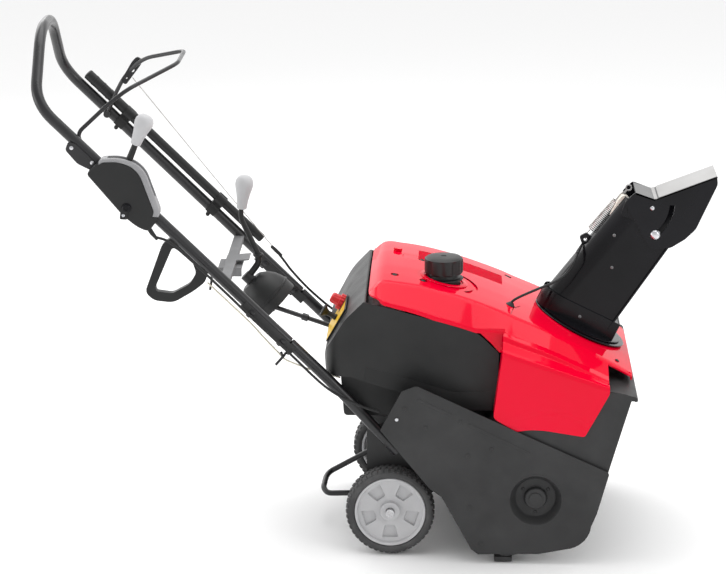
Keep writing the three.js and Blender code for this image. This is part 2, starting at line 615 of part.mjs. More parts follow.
add('control_box', cut(boxSolid, boxInside, leverSlot, slab(lidRegion(GAP), BOX_Y.outer - 1, BOX_Y.inner + 1)),
  BLACK_PLASTIC());
add('control_box_lid', cut(boxSolid.intersect(slab(lidRegion(0), BOX_Y.outer - 1, BOX_Y.inner + 1)), leverSlot),
  GREY_PLASTIC());
const LEVER_DIR = v3(Math.cos(1.18), 0, Math.sin(1.18));
const leverPoint = (d) => v3(LEVER_PIVOT.x, LEVER_Y, LEVER_PIVOT.z).addScaledVector(LEVER_DIR, d);
add('deflector_lever', join(
  barrel(LEVER_PIVOT.x, LEVER_PIVOT.z, 12, LEVER_Y - 7, LEVER_Y + 7, 20),
  rod(leverPoint(0), leverPoint(108), 5, 12),
), BLACK_PAINT());

function knobOn(from, direction, length) {
  const profile = [[0, 0], [9.5, 0], [11, 6], [17.5, length - 20], [17, length - 9], [11, length - 1.5], [0, length]];
  const g = new THREE.LatheGeometry(profile.map(([r, y]) => new THREE.Vector2(r, y)), 14);
  g.applyQuaternion(new THREE.Quaternion().setFromUnitVectors(v3(0, 1, 0), direction));
  return solid(g.translate(from.x, from.y, from.z));
}
const knobStart = 96;
const knobBore = (from, to) => rod(from, to, 5 + GAP, 12);
add('deflector_lever_knob', cut(
  knobOn(leverPoint(knobStart), LEVER_DIR, 58), knobBore(leverPoint(knobStart - 2), leverPoint(109)),
), GREY_PLASTIC());

// ---- chute lever between the tubes --------------------------------------------------
const CROSS = { x: -313, half: HANDLE_HALF - TUBE_R - GAP };
const crossZ = handleZ(CROSS.x);
add('lever_crossbar', join(
  box(CROSS.x - 13, CROSS.x + 13, -CROSS.half, CROSS.half, crossZ - 3, crossZ + 1),
  box(CROSS.x - 13, CROSS.x + 34, -24, 24, crossZ - 3, crossZ + 1),
), BLACK_PAINT());
const LEVER_RUN = v3(0.7157, 0, -0.6984); // along the handle, downwards
const axisPoint = (d) => v3(LEVER_AXIS.x, 0, LEVER_AXIS.z).addScaledVector(LEVER_RUN, d);
const bellShape = new THREE.LatheGeometry(
  closed([[12.5, -4], [22, -4], [34, 6], [45, 24], [50, 44], [50, 62], [46, 62], [46, 44], [41, 26], [31, 9], [21, 0], [12.5, 0]])
    .map(([r, y]) => new THREE.Vector2(r, y)), 16,
);
bellShape.applyQuaternion(new THREE.Quaternion().setFromUnitVectors(v3(0, 1, 0), LEVER_RUN));
const bellStart = axisPoint(6);
add('lever_bell', solid(bellShape.translate(bellStart.x, bellStart.y, bellStart.z)), BLACK_PLASTIC());
const shaftPath = bent([axisPoint(-8), v3(-262, 0, 520), v3(-264, 0, 540), v3(-297, 0, 610), v3(-294, 0, 640)], 14, 3);
const leverHub = rod(axisPoint(-16), axisPoint(34), 11, 16);
add('chute_lever', join(leverHub, tube(shaftPath, 5, 10)), BLACK_PAINT());
const knobFoot = v3(-294.6, 0, 628);
const knobAxis = v3(0.12, 0, 1).normalize();
add('chute_lever_knob', cut(knobOn(knobFoot, knobAxis, 66), rod(v3(-297, 0, 606), v3(-293.8, 0, 642), 5.8, 12),
  tube(shaftPath, 5 + GAP, 10)), GREY_PLASTIC());
const ROD_DIR = v3(0.948, 0, -0.318);
const rodStart = v3(-224, 0, 428).addScaledVector(ROD_DIR, -14);
add('chute_rod', join(
  rod(rodStart, rodStart.clone().addScaledVector(ROD_DIR, 150), 4.5, 10),
  rod(rodStart.clone().addScaledVector(ROD_DIR, -8), rodStart.clone().addScaledVector(ROD_DIR, 8), 9, 14),
), BLACK_PAINT());

// ---- starter grip, rope and its guides ----------------------------------------------
const GRIP_Y = -158;
const gripOuter = [
  [-431, 600], [-408, 614], [-362, 580], [-346, 548], [-350, 526], [-372, 508], [-412, 484], [-450, 488], [-466, 504],
];
const gripHole = [[-412, 593], [-376, 566], [-368, 542], [-380, 521], [-414, 502], [-444, 506], [-446, 514]];
add('starter_grip', slab(rounded(gripOuter, 7, 2), GRIP_Y - 8, GRIP_Y + 8, [rounded(gripHole, 5, 2)]), BLACK_PLASTIC());
add('rope_hook', tube(bent([
  v3(-340, -HANDLE_HALF + TUBE_R + GAP, handleZ(-340)), v3(-340, -147, 551), v3(-341, -145, 524),
  v3(-344, -151, 505),
], 8, 2), 2.2, 8), BLACK_PAINT());
add('rope_guide', join(
  tube([v3(-193, -HANDLE_HALF, handleZ(-193) - 25.5), v3(-198, -185, 394), v3(-203, -187, 387)], 2.6, 8),
  tube([v3(-203, -187, 387), v3(-208, -190, 383), v3(-218, -193, 371)], 2.6, 8),
  tube([v3(-203, -187, 387), v3(-206, -191, 391), v3(-207, -194, 397)], 2.6, 8),
), BLACK_PLASTIC());
const ROPE_R = 1.7;
const ropeRoute = [
  v3(-348, GRIP_Y, 522), v3(-320, GRIP_Y - 3, 496), v3(-268, -166, 447), v3(-238, -174, 416), v3(-212, -182, 391),
  v3(-200, -182, 379), v3(-180, -176, 368), v3(-157, -170, 357), v3(-130, -161, 347), v3(-97.5, -150, 334),
];
add('starter_rope', tube(ropeRoute, ROPE_R, 8), ROPE());

// ---- clean-out tool and its clips on the left tube ----------------------------------
const TOOL_R = 9;
const TOOL_RISE = 35;
const toolAt = (x) => v3(x, HANDLE_HALF, handleZ(x) + TOOL_RISE);
add('clean_out_tool', join(
  rod(toolAt(-613), toolAt(-268), TOOL_R, 14),
  rod(toolAt(-613).add(v3(0, 0, 0)), toolAt(-500), TOOL_R + 1.5, 14),
), BLACK_PLASTIC());
function toolClip(x) {
  const tool = toolAt(x);
  const foot = v3(x, HANDLE_HALF, handleZ(x));
  const side = v3(0.716, 0, -0.698); // along the tubes
  const up = v3(0.698, 0, 0.716);
  const gapAbove = tool.clone().sub(foot).dot(up);
  const corner = (a, b) => {
    const p = foot.clone().addScaledVector(side, a).addScaledVector(up, b);
    return [p.x, p.z];
  };
  const block = slab([corner(-12, -14), corner(12, -14), corner(12, gapAbove + 6), corner(-12, gapAbove + 6)],
    HANDLE_HALF - 14.5, HANDLE_HALF + 14.5);
  const far = (p, d) => p.clone().addScaledVector(side, d);
  const tubeBore = rod(far(foot, -30), far(foot, 30), TUBE_R + GAP, 20);
  const toolBore = rod(far(tool, -60), far(tool, 60), TOOL_R + 1.5 + GAP, 16);
  const mouth = slab([corner(-14, gapAbove), corner(14, gapAbove), corner(14, gapAbove + 20), corner(-14, gapAbove + 20)],
    HANDLE_HALF - TOOL_R - 1.5 - GAP, HANDLE_HALF + TOOL_R + 1.5 + GAP);
  return cut(block, tubeBore, toolBore, mouth);
}
add('tool_clip_upper', toolClip(-548), BLACK_PLASTIC());
add('tool_clip_lower', toolClip(-368), BLACK_PLASTIC());

// ---- engine covers ------------------------------------------------------------------
const rearProfile = [
  [-51, 498], [-87, 461], [-128, 388], [-124, 347], [-76, 350], [12, 322], [120, 286],
  [200, 286], [204, 400], [165, 438], [81, 463], [-12, 488], [-38, 493],
];
const rearInside = [
  [-42, 500], [-84, 459], [-124.6, 387], [-121, 330], [-75, 330], [13, 300], [121, 260],
  [230, 260], [230, 600], [-12, 600],
];
const planRing = (half, rear, r) => rounded([[rear, -half], [260, -half], [260, half], [rear, half]], r, 6);
const rearOuter = slab(rearProfile, -230, 230).intersect(column(planRing(BODY_HALF, -129, 70), 200, 600));
const rearInner = slab(rearInside, -230, 230)
  .intersect(column(planRing(BODY_HALF - SHEET, -126, 67), 200, 600));
const tubeRoom = [1, -1].map((side) => rod(
  v3(-190, side * HANDLE_HALF, handleZ(-190)), v3(LOWER_BEND.x + 20, side * HANDLE_HALF, LOWER_BEND.z - 22),
  TUBE_R + 2, 10,
));
const rearShell = cut(rearOuter, rearInner, ...tubeRoom, rod(v3(-150, 0, 403.4), v3(-100, 0, 386.7), 14, 12));
add('rear_cover', rearShell, BLACK_PLASTIC());

const lowerProfile = [[-96, 342], [-78, 344], [8, 316], [116, 282], [116, 262], [-50, 262], [-90, 262]];
const lowerInset = [[-93, 345], [-78, 350], [8, 330], [130, 282], [130, 250], [-50, 250], [-87, 250]];
add('lower_cover', cut(
  slab(lowerProfile, -CHEEK_Y + 2, CHEEK_Y - 2), slab(lowerInset, -CHEEK_Y + 2 + SHEET, CHEEK_Y - 2 - SHEET),
  box(100, 130, -200, 200, 250, 340), barrel(CRANK.x, CRANK.z, CRANK_R + 4, 150, 170, 20),
), BLACK_PLASTIC());

// hood: crowned top, sloping band each side, and the stepped side panels in front
function hoodRing(x, inner) {
  const d = inner ? SHEET : 0;
  const top = hoodZ(x, CREASE_HALF) - d;
  const half = [
    [BODY_HALF - d, bandZ(x) - d], [CREASE_HALF - d / 2, top], [CREASE_HALF / 2, top + CROWN * 0.75], [0, top + CROWN],
  ];
  return [...half.map(([y, z]) => v3(x, y, z)), ...half.slice(0, 3).reverse().map(([y, z]) => v3(x, -y, z))];
}
const hoodStations = crease.map(([x]) => x);
const yz = (p) => new THREE.Vector2(p.y, p.z);
const hoodTop = loft(hoodStations.map((x) => [...hoodRing(x, false), ...hoodRing(x, true).reverse()]), yz);
const ledgeZ = (x) => bandZ(x) - 3; // outer edge of the upper step
const panelTopZ = (x) => 425 - 0.34 * (x - 190);
function panelRing(x, side) {
  const o = [
    [BODY_HALF - 3, bandZ(x) + 2], [216, ledgeZ(x)], [PANEL_OUT - 4, panelTopZ(x)],
    [PANEL_OUT, panelTopZ(x) - 5], [PANEL_OUT, 240],
  ];
  const i = o.map(([y, z], k) => [k < 2 ? y : y - SHEET, k < 4 ? z - SHEET - 1 : z]);
  i[0][0] += 1;
  return [...o, ...i.reverse()].map(([y, z]) => v3(x, side * y, z));
}
const panelOutline = [
  [212, 470], [208, 404], [194, 288], [238, 262], [262, 266], [290, 265], [366, 253], [411, 338], [411, 420], [300, 480],
];
const panel = (side) => loft([190, 240, 300, 360, 420].map((x) => panelRing(x, side)), yz)
  .intersect(slab(panelOutline, -300, 300));
const nose = slab([[446, 358], [455, 354], [458, 348], [457, 337], [454, 337], [453, 347], [446, 350]],
  -CREASE_HALF, CREASE_HALF);
const hoodMain = hoodTop.intersect(join(
  box(-60, 411, -300, 300, 200, 600), box(410, 470, -CREASE_HALF - 8, CREASE_HALF + 8, 200, 600),
));
add('hood', cut(
  join(hoodMain, nose, panel(1), panel(-1)),
  throatTool(RING_R + 6, -60, 60),
  rod(v3(CAP.x, CAP.y, 400), v3(CAP.x, CAP.y, 600), NECK_R + 5, 20),
), RED());

// control panel on the sloping back of the cover
const panelDir = new THREE.Vector2(-41, -73).normalize();
const onPanel = (d, out) => [-84 + panelDir.x * d - out * 0.872, 464 + panelDir.y * d + out * 0.49];
add('control_panel', slab([onPanel(4, 1.8), onPanel(77, 1.8), onPanel(77, 5), onPanel(4, 5)], -126, -14), BLACK_PLASTIC());
const stem = (d, y, from, to, r, r2 = r, sides = 16) => {
  const a = onPanel(d, from);
  const b = onPanel(d, to);
  return rod(v3(a[0], y, a[1]), v3(b[0], y, b[1]), r, sides, r2);
};
add('ignition_switch', join(stem(18, -36, 5.5, 14, 16), stem(18, -36, 13, 30, 11, 9)), RED());
add('choke_knob', join(stem(40, -74, 5.5, 27, 6), stem(40, -74, 26, 36, 7, 13)), BLACK_PLASTIC());

// ---- chute --------------------------------------------------------------------------
// local frame: u forward along the hood's slope, v to the left, n out of the hood
const tiltChute = (body) => body
  .rotate([0, THREE.MathUtils.radToDeg(CHUTE.tilt), 0])
  .translate([CHUTE.x, 0, CHUTE.z]);
const ringFlange = 95;
const collar = cut(
  join(column(arc(0, 0, RING_R, 0, 345, 23), -110, 6), column(arc(0, 0, ringFlange, 0, 345, 23), 8.5, 11.5),
    column(arc(0, 0, RING_R + 3, 0, 345, 23), 5, 9)),
  column(arc(0, 0, RING_R - SHEET, 0, 345, 23), -120, 20),
);
const roofTop = (x) => along([
  [ROOF_REAR.x - 3, ROOF_REAR.z + SHEET], [ROOF_FRONT.x + 1, ROOF_FRONT.z + SHEET],
], x);
const underRoof = slab([[200, 200], [500, 200], [500, roofTop(500) + GAP], [200, roofTop(200) + GAP]], -200, 200);
add('chute_ring', cut(tiltChute(collar), underRoof), GLOSS_BLACK());

const BASE_N = 12;
const rearU = (n) => -98 + 0.213 * n;
const frontU = (n) => 46 + 0.139 * n;
function channelRing(n, wall, reach = 0) {
  const half = CHUTE_HALF - wall;
  const back = rearU(n) + wall;
  const bend = arc(back + half, 0, half, 90, 270, 6);
  return [[frontU(n) + reach, half], ...bend, [frontU(n) + reach, -half]].map(([u, w]) => v3(u, w, n));
}
const uv = (p) => new THREE.Vector2(p.x, p.y);
const TOP_N = 300;
const channel = loft([BASE_N + 20, 110, 200, TOP_N].map(
  (n) => [...channelRing(n, 0), ...channelRing(n, SHEET).reverse()]), uv);
const bandHalf = CHUTE_HALF + 3;
const bandOutline = (wall) => [
  [66 - wall, bandHalf - wall], ...arc(-96 + bandHalf, 0, bandHalf - wall, 90, 270, 6), [66 - wall, -bandHalf + wall],
];
const baseBand = cut(column(bandOutline(0), BASE_N, BASE_N + 38), column(bandOutline(SHEET + 0.01), BASE_N - 1, BASE_N + 60));
const baseFloor = cut(column(arc(0, 0, 86, 0, 345, 23), BASE_N, BASE_N + 3), column(bandOutline(SHEET - 0.5), BASE_N - 1, BASE_N + 9));
const bandBridge = cut(column(bandOutline(0.5), BASE_N + 30, BASE_N + 37), column(bandOutline(bandHalf - CHUTE_HALF + 2), BASE_N, BASE_N + 60));
const topCut = slab([
  [CHUTE_PIVOT.x - 14, CHUTE_PIVOT.z + 12], [516, 572], [640, 640], [560, 800], [400, 760],
], -100, 100);
const LOCK = (() => {
  const a = THREE.MathUtils.degToRad(-53);
  return { x: CHUTE_PIVOT.x + SLOT_R * Math.cos(a), z: CHUTE_PIVOT.z + SLOT_R * Math.sin(a) };
})();
const bolt = (at, r, headR, headY) => [1, -1].map((side) => join(
  barrel(at.x, at.z, r, Math.min(side * 41, side * (headY + 2)), Math.max(side * 41, side * (headY + 2)), 8),
  barrel(at.x, at.z, headR, Math.min(side * headY, side * (headY + 4)), Math.max(side * headY, side * (headY + 4)), 10),
));
const hingeEar = [1, -1].map((side) => slab(rounded([
  [CHUTE_PIVOT.x - 20, CHUTE_PIVOT.z - 26], [CHUTE_PIVOT.x + 12, CHUTE_PIVOT.z - 36], [CHUTE_PIVOT.x + 12, CHUTE_PIVOT.z + 9],
  [CHUTE_PIVOT.x - 9, CHUTE_PIVOT.z + 9],
], 6, 2), Math.min(side * 40, side * CHUTE_HALF), Math.max(side * 40, side * CHUTE_HALF)));
const tab = cut(slab(rounded([[368, 560], [384, 556], [390, 572], [372, 586], [360, 578]], 5, 2), -3, 3), barrel(371, 573, 3.5, -6, 6, 12));
const chuteBody = join(cut(tiltChute(join(channel, baseBand, baseFloor, bandBridge)), topCut), ...hingeEar,
  ...bolt(LOCK, 3.6, 10, DEFLECTOR_HALF + GAP), ...bolt(CHUTE_PIVOT, 3.6, 7, DEFLECTOR_HALF + GAP), tab);
add('chute', chuteBody, GLOSS_BLACK());

// ---- deflector ----------------------------------------------------------------------
const slotOutline = (() => {
  const half = 5;
  const outer = arc(CHUTE_PIVOT.x, CHUTE_PIVOT.z, SLOT_R + half, -58, -3, 5);
  const inner = arc(CHUTE_PIVOT.x, CHUTE_PIVOT.z, SLOT_R - half, -3, -58, 5);
  return [...outer, ...inner];
})();
const deflectorSide = rounded([
  [442, 658], [462, 678], [500, 664], [616, 710], [618, 694], [579, 606], [559, 586], [532, 569], [494, 566],
  [476, 596], [452, 640],
], 5, 2);
const sidePlate = (y0, y1) => slab(deflectorSide, y0, y1, [slotOutline, arc(CHUTE_PIVOT.x, CHUTE_PIVOT.z, 4.4, 0, 330, 11)]);
const deflectorTop = slab([[502, 662], [616.5, 706.5], [616.5, 710], [502, 666]], -DEFLECTOR_HALF, DEFLECTOR_HALF);
const rearBridge = slab([[462, 673], [500, 660.5], [503, 664.5], [463, 677.6]], -DEFLECTOR_HALF, DEFLECTOR_HALF);
add('deflector', join(
  sidePlate(-DEFLECTOR_HALF, -DEFLECTOR_HALF + 2.6), sidePlate(DEFLECTOR_HALF - 2.6, DEFLECTOR_HALF), deflectorTop, rearBridge,
), GLOSS_BLACK());
add('deflector_spring', rod(v3(376, 0, 588), v3(438, 0, 664), 5, 12), STEEL());

// ---- cables -------------------------------------------------------------------------
add('clutch_cable', tube([
  v3(-519, 148, 856), v3(-364, 162, 656), v3(-240, 172, 500), v3(-209, 174.5, 458), v3(-170, 186, 412),
  v3(-120, 200, 366), v3(-60, 212, 330), v3(-22, 222, 300),
], 1.6, 8), STEEL());
add('deflector_cable', tube([
  v3(-449, -200, 633), v3(-440, -203, 620), v3(-415, -202, 595), v3(-373, -200, 556), v3(-300, -199, 487),
  v3(-270, -203, 452), v3(-190, -203, 380), v3(-120, -203, 322), v3(-60, -205, 296), v3(-20, -207, 284),
], 2.6, 8), BLACK_PLASTIC());
add('deflector_cable_front', tube([
  v3(226, -96, 470), v3(240, -94, 480), v3(280, -84, 496), v3(310, -72, 506), v3(334, -56, 520), v3(348, -50, 541),
  v3(356, -30, 556),
], 2.6, 8), BLACK_PLASTIC());

machine.position.x = AXLE_X;
machine.updateMatrixWorld(true);
export default machine;
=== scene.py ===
# %% [markdown]
# # A walk-behind snow blower, finished in Blender
#
# The machine's working parts were drawn as plain solids and packed as a fixed frame. This script
# loads that frame and gives every piece the shape, finish and small hardware of the real one.
# Nothing is moved: each new piece is built where the frame says, and all but the spring, the starter
# cord and two cables ride on one of its bodies.

# %% Load the frame
import json
import math
import bmesh
import bpy
from mathutils import Matrix, Vector
from mathutils.geometry import tessellate_polygon

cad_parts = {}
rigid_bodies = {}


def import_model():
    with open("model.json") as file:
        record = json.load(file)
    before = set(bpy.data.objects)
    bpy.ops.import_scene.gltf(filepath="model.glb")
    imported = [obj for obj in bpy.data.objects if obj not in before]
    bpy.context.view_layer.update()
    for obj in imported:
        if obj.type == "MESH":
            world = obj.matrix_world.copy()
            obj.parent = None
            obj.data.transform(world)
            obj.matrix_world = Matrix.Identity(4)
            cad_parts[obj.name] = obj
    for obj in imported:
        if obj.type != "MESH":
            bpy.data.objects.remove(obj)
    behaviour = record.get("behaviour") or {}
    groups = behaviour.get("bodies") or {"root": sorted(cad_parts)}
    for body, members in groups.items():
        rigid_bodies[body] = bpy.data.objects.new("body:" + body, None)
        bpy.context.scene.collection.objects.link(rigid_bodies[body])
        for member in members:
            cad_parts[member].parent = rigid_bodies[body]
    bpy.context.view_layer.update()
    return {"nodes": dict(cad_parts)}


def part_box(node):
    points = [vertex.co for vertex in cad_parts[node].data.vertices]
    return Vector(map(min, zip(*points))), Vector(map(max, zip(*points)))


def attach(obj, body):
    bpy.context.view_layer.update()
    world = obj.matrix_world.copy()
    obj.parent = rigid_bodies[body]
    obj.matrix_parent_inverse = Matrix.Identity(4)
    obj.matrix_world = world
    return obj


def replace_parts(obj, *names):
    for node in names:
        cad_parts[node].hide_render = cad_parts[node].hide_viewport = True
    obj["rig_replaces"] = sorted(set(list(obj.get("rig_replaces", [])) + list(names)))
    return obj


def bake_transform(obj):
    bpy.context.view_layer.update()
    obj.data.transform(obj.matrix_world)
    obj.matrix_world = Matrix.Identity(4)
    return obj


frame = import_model()
scene = bpy.context.scene

# %% [markdown]
# ## A ruler that starts at the wheel axle
#
# A snow blower is drawn from its axle: X forward, Y to the left, Z up from the ground, in
# millimetres. The frame is in metres with its origin under the middle of the machine, so one small
# function turns drawing numbers into places. The axle's own position is read from the frame.

# %% The ruler
MM = 0.001
axle_low, axle_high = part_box("axle")
AXLE_X = (axle_low.x + axle_high.x) / 2
AXLE_Z = (axle_low.z + axle_high.z) / 2


def at(x, y, z):
    """A place in the frame from drawing millimetres."""
    return Vector((x * MM + AXLE_X, y * MM, z * MM))


print("axle at x = %.4f m, z = %.4f m" % (AXLE_X, AXLE_Z))

# %% [markdown]
# ## Camera, floor and light
#
# A product on white is lit by large soft sources all round it. The lens is long and far away, so
# the two handle tubes stay almost parallel. The world is white where the camera sees it, but it
# lights the machine in a slow gradient, strongest near the horizon and weaker on the viewer's side,
# because an even white room would wash the colour out of glossy paint. One big lamp above makes the
# long highlights on the hood, and three smaller ones draw the edges of the black parts.

# %% Camera
LENS_MM = 133.8843
SENSOR_MM = 36
PITCH = math.radians(15.27)
YAW = math.radians(2.03)
CAMERA_PLACE = at(120.64, -5073.25, 1858.72)
camera = bpy.data.objects.new("camera", bpy.data.cameras.new("camera"))
scene.collection.objects.link(camera)
camera.data.lens = LENS_MM
camera.data.sensor_width = SENSOR_MM
camera.data.clip_end = 60
forward = Vector((-math.sin(YAW) * math.cos(PITCH), math.cos(YAW) * math.cos(PITCH), -math.sin(PITCH)))
right = Vector((math.cos(YAW), math.sin(YAW), 0))
up = right.cross(forward)
turn = Matrix((right, up, -forward)).transposed().to_4x4()
camera.matrix_world = Matrix.Translation(CAMERA_PLACE) @ turn
scene.camera = camera
scene.view_settings.view_transform = "Standard"


# %% Floor and lights
def flat_panel(name, size, place, finish):
    """A square lying flat, used for the floor."""
    half = size / 2
    mesh = bpy.data.meshes.new(name)
    corners = [(-half, -half, 0), (half, -half, 0), (half, half, 0), (-half, half, 0)]
    mesh.from_pydata([Vector(c) + place for c in corners], [], [(0, 1, 2, 3)])
    mesh.materials.append(finish)
    obj = bpy.data.objects.new(name, mesh)
    scene.collection.objects.link(obj)
    return obj


def softbox(name, place, aim, size, watts):
    """A large square lamp at place, facing aim."""
    lamp = bpy.data.lights.new(name, "AREA")
    lamp.shape = "RECTANGLE"
    lamp.size, lamp.size_y = size
    lamp.energy = watts
    obj = bpy.data.objects.new(name, lamp)
    obj.location = place
    obj.rotation_euler = (Vector(aim) - Vector(place)).to_track_quat("-Z", "Y").to_euler()
    scene.collection.objects.link(obj)
    return obj


FLOOR_SIZE = 30
FLOOR_DROP = 0.0015
paper = bpy.data.materials.new("floor paper")
paper.use_nodes = True
paper_shader = paper.node_tree.nodes["Principled BSDF"]
paper_shader.inputs["Base Color"].default_value = (0.97, 0.97, 0.97, 1)
paper_shader.inputs["Roughness"].default_value = 0.9
floor = flat_panel("floor", FLOOR_SIZE, Vector((0, 0, -FLOOR_DROP)), paper)
CENTRE = (0, 0, 0.45)


def studio_world(overhead, level, facing):
    """A white backdrop whose light goes from level to overhead, and drops to facing at the front."""
    room = bpy.data.worlds.new("white room")
    room.use_nodes = True
    tree = room.node_tree
    place = tree.nodes.new("ShaderNodeTexCoord")
    parts = tree.nodes.new("ShaderNodeSeparateXYZ")
    tree.links.new(place.outputs["Generated"], parts.inputs[0])
    rise, side = tree.nodes.new("ShaderNodeMapRange"), tree.nodes.new("ShaderNodeMapRange")
    light = tree.nodes.new("ShaderNodeMath")
    slopes = ((rise, "Z", 0.1, 0.8, level, overhead), (side, "Y", -0.75, 0.1, facing, 1.0))
    for node, source, low, high, out_low, out_high in slopes:
        node.interpolation_type = "SMOOTHSTEP"
        tree.links.new(parts.outputs[source], node.inputs["Value"])
        for key, value in (("From Min", low), ("From Max", high), ("To Min", out_low), ("To Max", out_high)):
            node.inputs[key].default_value = value
    light.operation = "MULTIPLY"
    tree.links.new(rise.outputs[0], light.inputs[0])
    tree.links.new(side.outputs[0], light.inputs[1])
    seen, pick = tree.nodes.new("ShaderNodeLightPath"), tree.nodes.new("ShaderNodeMix")
    pick.inputs[3].default_value = 1.0
    tree.links.new(seen.outputs["Is Camera Ray"], pick.inputs[0])
    tree.links.new(light.outputs[0], pick.inputs[2])
    tree.links.new(pick.outputs[0], tree.nodes["Background"].inputs["Strength"])
    tree.nodes["Background"].inputs["Color"].default_value = (1, 1, 1, 1)
    return room


scene.world = studio_world(0.95, 1.35, 0.62)
LAMPS = {
    "lamp_top": ((0.2, 0.5, 3.4), (3.4, 2.6), 60),
    "lamp_front": ((2.8, -2.4, 2.0), (1.2, 1.6), 18),
    "lamp_rear": ((-3.0, -0.6, 0.9), (1.6, 1.2), 14),
    "lamp_back": ((-1.8, 2.6, 2.2), (2.0, 1.6), 20),
}
for name, (place, size, watts) in LAMPS.items():
    softbox(name, place, CENTRE, size, watts)
print("lens %.1f mm" % LENS_MM)

# %% [markdown]
# ## Shader arithmetic
#
# A finish is a small sum of patterns: some grain, some cloudy wear, a little dust. Wiring dozens
# of math nodes by hand hides that sum, so one class wraps a socket and lets Python's own signs add
# the nodes. Colours never pass through a math node, because it would turn them grey.


# %% The socket class and the finish class
class Wire:
    """An output socket that can be used in sums."""

    def __init__(self, finish, socket):
        self.finish = finish
        self.socket = socket

    def sum_with(self, operation, other, swapped=False):
        first, second = (other, self) if swapped else (self, other)
        return self.finish.add("ShaderNodeMath", {"operation": operation}, {0: first, 1: second})

    def __add__(self, other):
        return self.sum_with("ADD", other)

    def __radd__(self, other):
        return self.sum_with("ADD", other, True)

    def __sub__(self, other):
        return self.sum_with("SUBTRACT", other)

    def __rsub__(self, other):
        return self.sum_with("SUBTRACT", other, True)

    def __mul__(self, other):
        return self.sum_with("MULTIPLY", other)

    def __rmul__(self, other):
        return self.sum_with("MULTIPLY", other, True)


class Finish:
    """A material under construction, with its Principled shader and the piece's own coordinates."""

    def __init__(self, name, **constants):
        self.material = bpy.data.materials.new(name)
        self.material.use_nodes = True
        self.tree = self.material.node_tree
        self.shader = self.tree.nodes["Principled BSDF"]
        self.place = self.add("ShaderNodeTexCoord", out="Object")
        for socket, value in constants.items():
            self.shader.inputs[socket.replace("_", " ")].default_value = value

    def add(self, kind, settings=None, values=None, out=0):
        node = self.tree.nodes.new(kind)
        for key, value in (settings or {}).items():
            setattr(node, key, value)
        for key, value in (values or {}).items():
            if isinstance(value, Wire):
                self.tree.links.new(value.socket, node.inputs[key])
            else:
                node.inputs[key].default_value = value
        return Wire(self, node.outputs[out])

    def stretched(self, factors):
        """The piece's coordinates, scaled differently along each axis."""
        return self.add("ShaderNodeMapping", None, {"Vector": self.place, "Scale": factors})

    def noise(self, scale, detail=3.0, place=None):
        return self.add("ShaderNodeTexNoise", None, {
            "Vector": place or self.place, "Scale": scale, "Detail": detail})

    def steps(self, wire, low, high, out_low=0.0, out_high=1.0):
        """Values from low to high stretched onto out_low to out_high."""
        return self.add("ShaderNodeMapRange", None, {
            "Value": wire, "From Min": low, "From Max": high, "To Min": out_low, "To Max": out_high})

    def blend(self, factor, first, second):
        return self.add("ShaderNodeMix", {"data_type": "RGBA"}, {
            0: factor, 6: (*first, 1) if isinstance(first, tuple) else first,
            7: (*second, 1) if isinstance(second, tuple) else second}, out=2)

    def feed(self, socket, wire):
        self.tree.links.new(wire.socket, self.shader.inputs[socket])

    def bump(self, height, strength, distance):
        self.feed("Normal", self.add("ShaderNodeBump", None, {
            "Height": height, "Strength": strength, "Distance": distance}))


# %% [markdown]
# ## The finishes
#
# Real plastics and paints differ less in colour than in how they break up a highlight. The hood is
# glossy with a faint orange peel, powder coat has a fine pebble, moulded covers have a spark-eroded
# grain, rubber is dull and dusty, and zinc-plated bolts show cloudy brightness. Each finish gets its
# own grain at the real scale, plus slow colour and roughness changes so no surface is dead flat.


# %% Painted and moulded surfaces
def coloured(name, dark, light, rough, grain, bump, cloud=9.0, dust=0.0, dust_tint=(0.45, 0.44, 0.42),
             **constants):
    """A surface with two close shades, a roughness range and a fine grain of 1/grain metres."""
    look = Finish(name, **constants)
    shade = look.steps(look.noise(cloud, 4.0), 0.35, 0.65)
    tint = look.blend(shade, dark, light)
    fine = look.noise(grain, 2.0)
    if dust:
        upper = look.steps(look.noise(cloud * 3.1, 6.0), 0.48, 0.78, 0.0, dust)
        tint = look.blend(upper, tint, dust_tint)
    look.feed("Base Color", tint)
    wear = look.steps(look.noise(cloud * 2.3, 5.0), 0.3, 0.7, *rough)
    look.feed("Roughness", wear + fine * 0.04)
    look.bump(fine, bump, 0.0004)
    return look.material


RED = coloured("red gloss shell", (0.76, 0.0, 0.022), (0.82, 0.0, 0.030), (0.16, 0.24), 260, 0.05,
               cloud=3.0, Coat_Weight=0.6, Coat_Roughness=0.05, Coat_IOR=1.38, Specular_IOR_Level=0.0)
POWDER = coloured("black powder coat", (0.026, 0.0262, 0.0268), (0.036, 0.0362, 0.0368), (0.40, 0.52),
                  900, 0.25,
                  dust=0.06, dust_tint=(0.12, 0.12, 0.12), IOR=1.36)
TUBE_PAINT = coloured("gloss black tube paint", (0.010, 0.010, 0.011), (0.016, 0.016, 0.018),
                      (0.22, 0.34), 700, 0.10)
MOULDED = coloured("black moulded cover", (0.008, 0.0083, 0.0086), (0.013, 0.0133, 0.0136), (0.36, 0.48),
                   1300, 0.30,
                  IOR=1.42)
PIANO = coloured("gloss black chute plastic", (0.003, 0.003, 0.004), (0.006, 0.006, 0.008), (0.12, 0.22),
                 240, 0.05,
                 IOR=1.3)
GREY = coloured("light grey plastic", (0.46, 0.46, 0.47), (0.52, 0.52, 0.53), (0.42, 0.52), 1100, 0.18,
                dust=0.12,
                dust_tint=(0.28, 0.27, 0.26))
# The lid is the same light grey plastic as the rims and knobs; this darker copy is painted shade that holds
# down the top lamp's light on its upper face.
LID_GREY_PAINTED_SHADE = coloured("light grey plastic with painted shade", (0.27, 0.27, 0.28), (0.32, 0.32, 0.33), (0.42, 0.52), 1100, 0.18,
               dust=0.10,
               dust_tint=(0.24, 0.23, 0.22))
BRACKET = coloured("grey bracket paint", (0.15, 0.15, 0.155), (0.20, 0.20, 0.205), (0.35, 0.50), 800, 0.15)
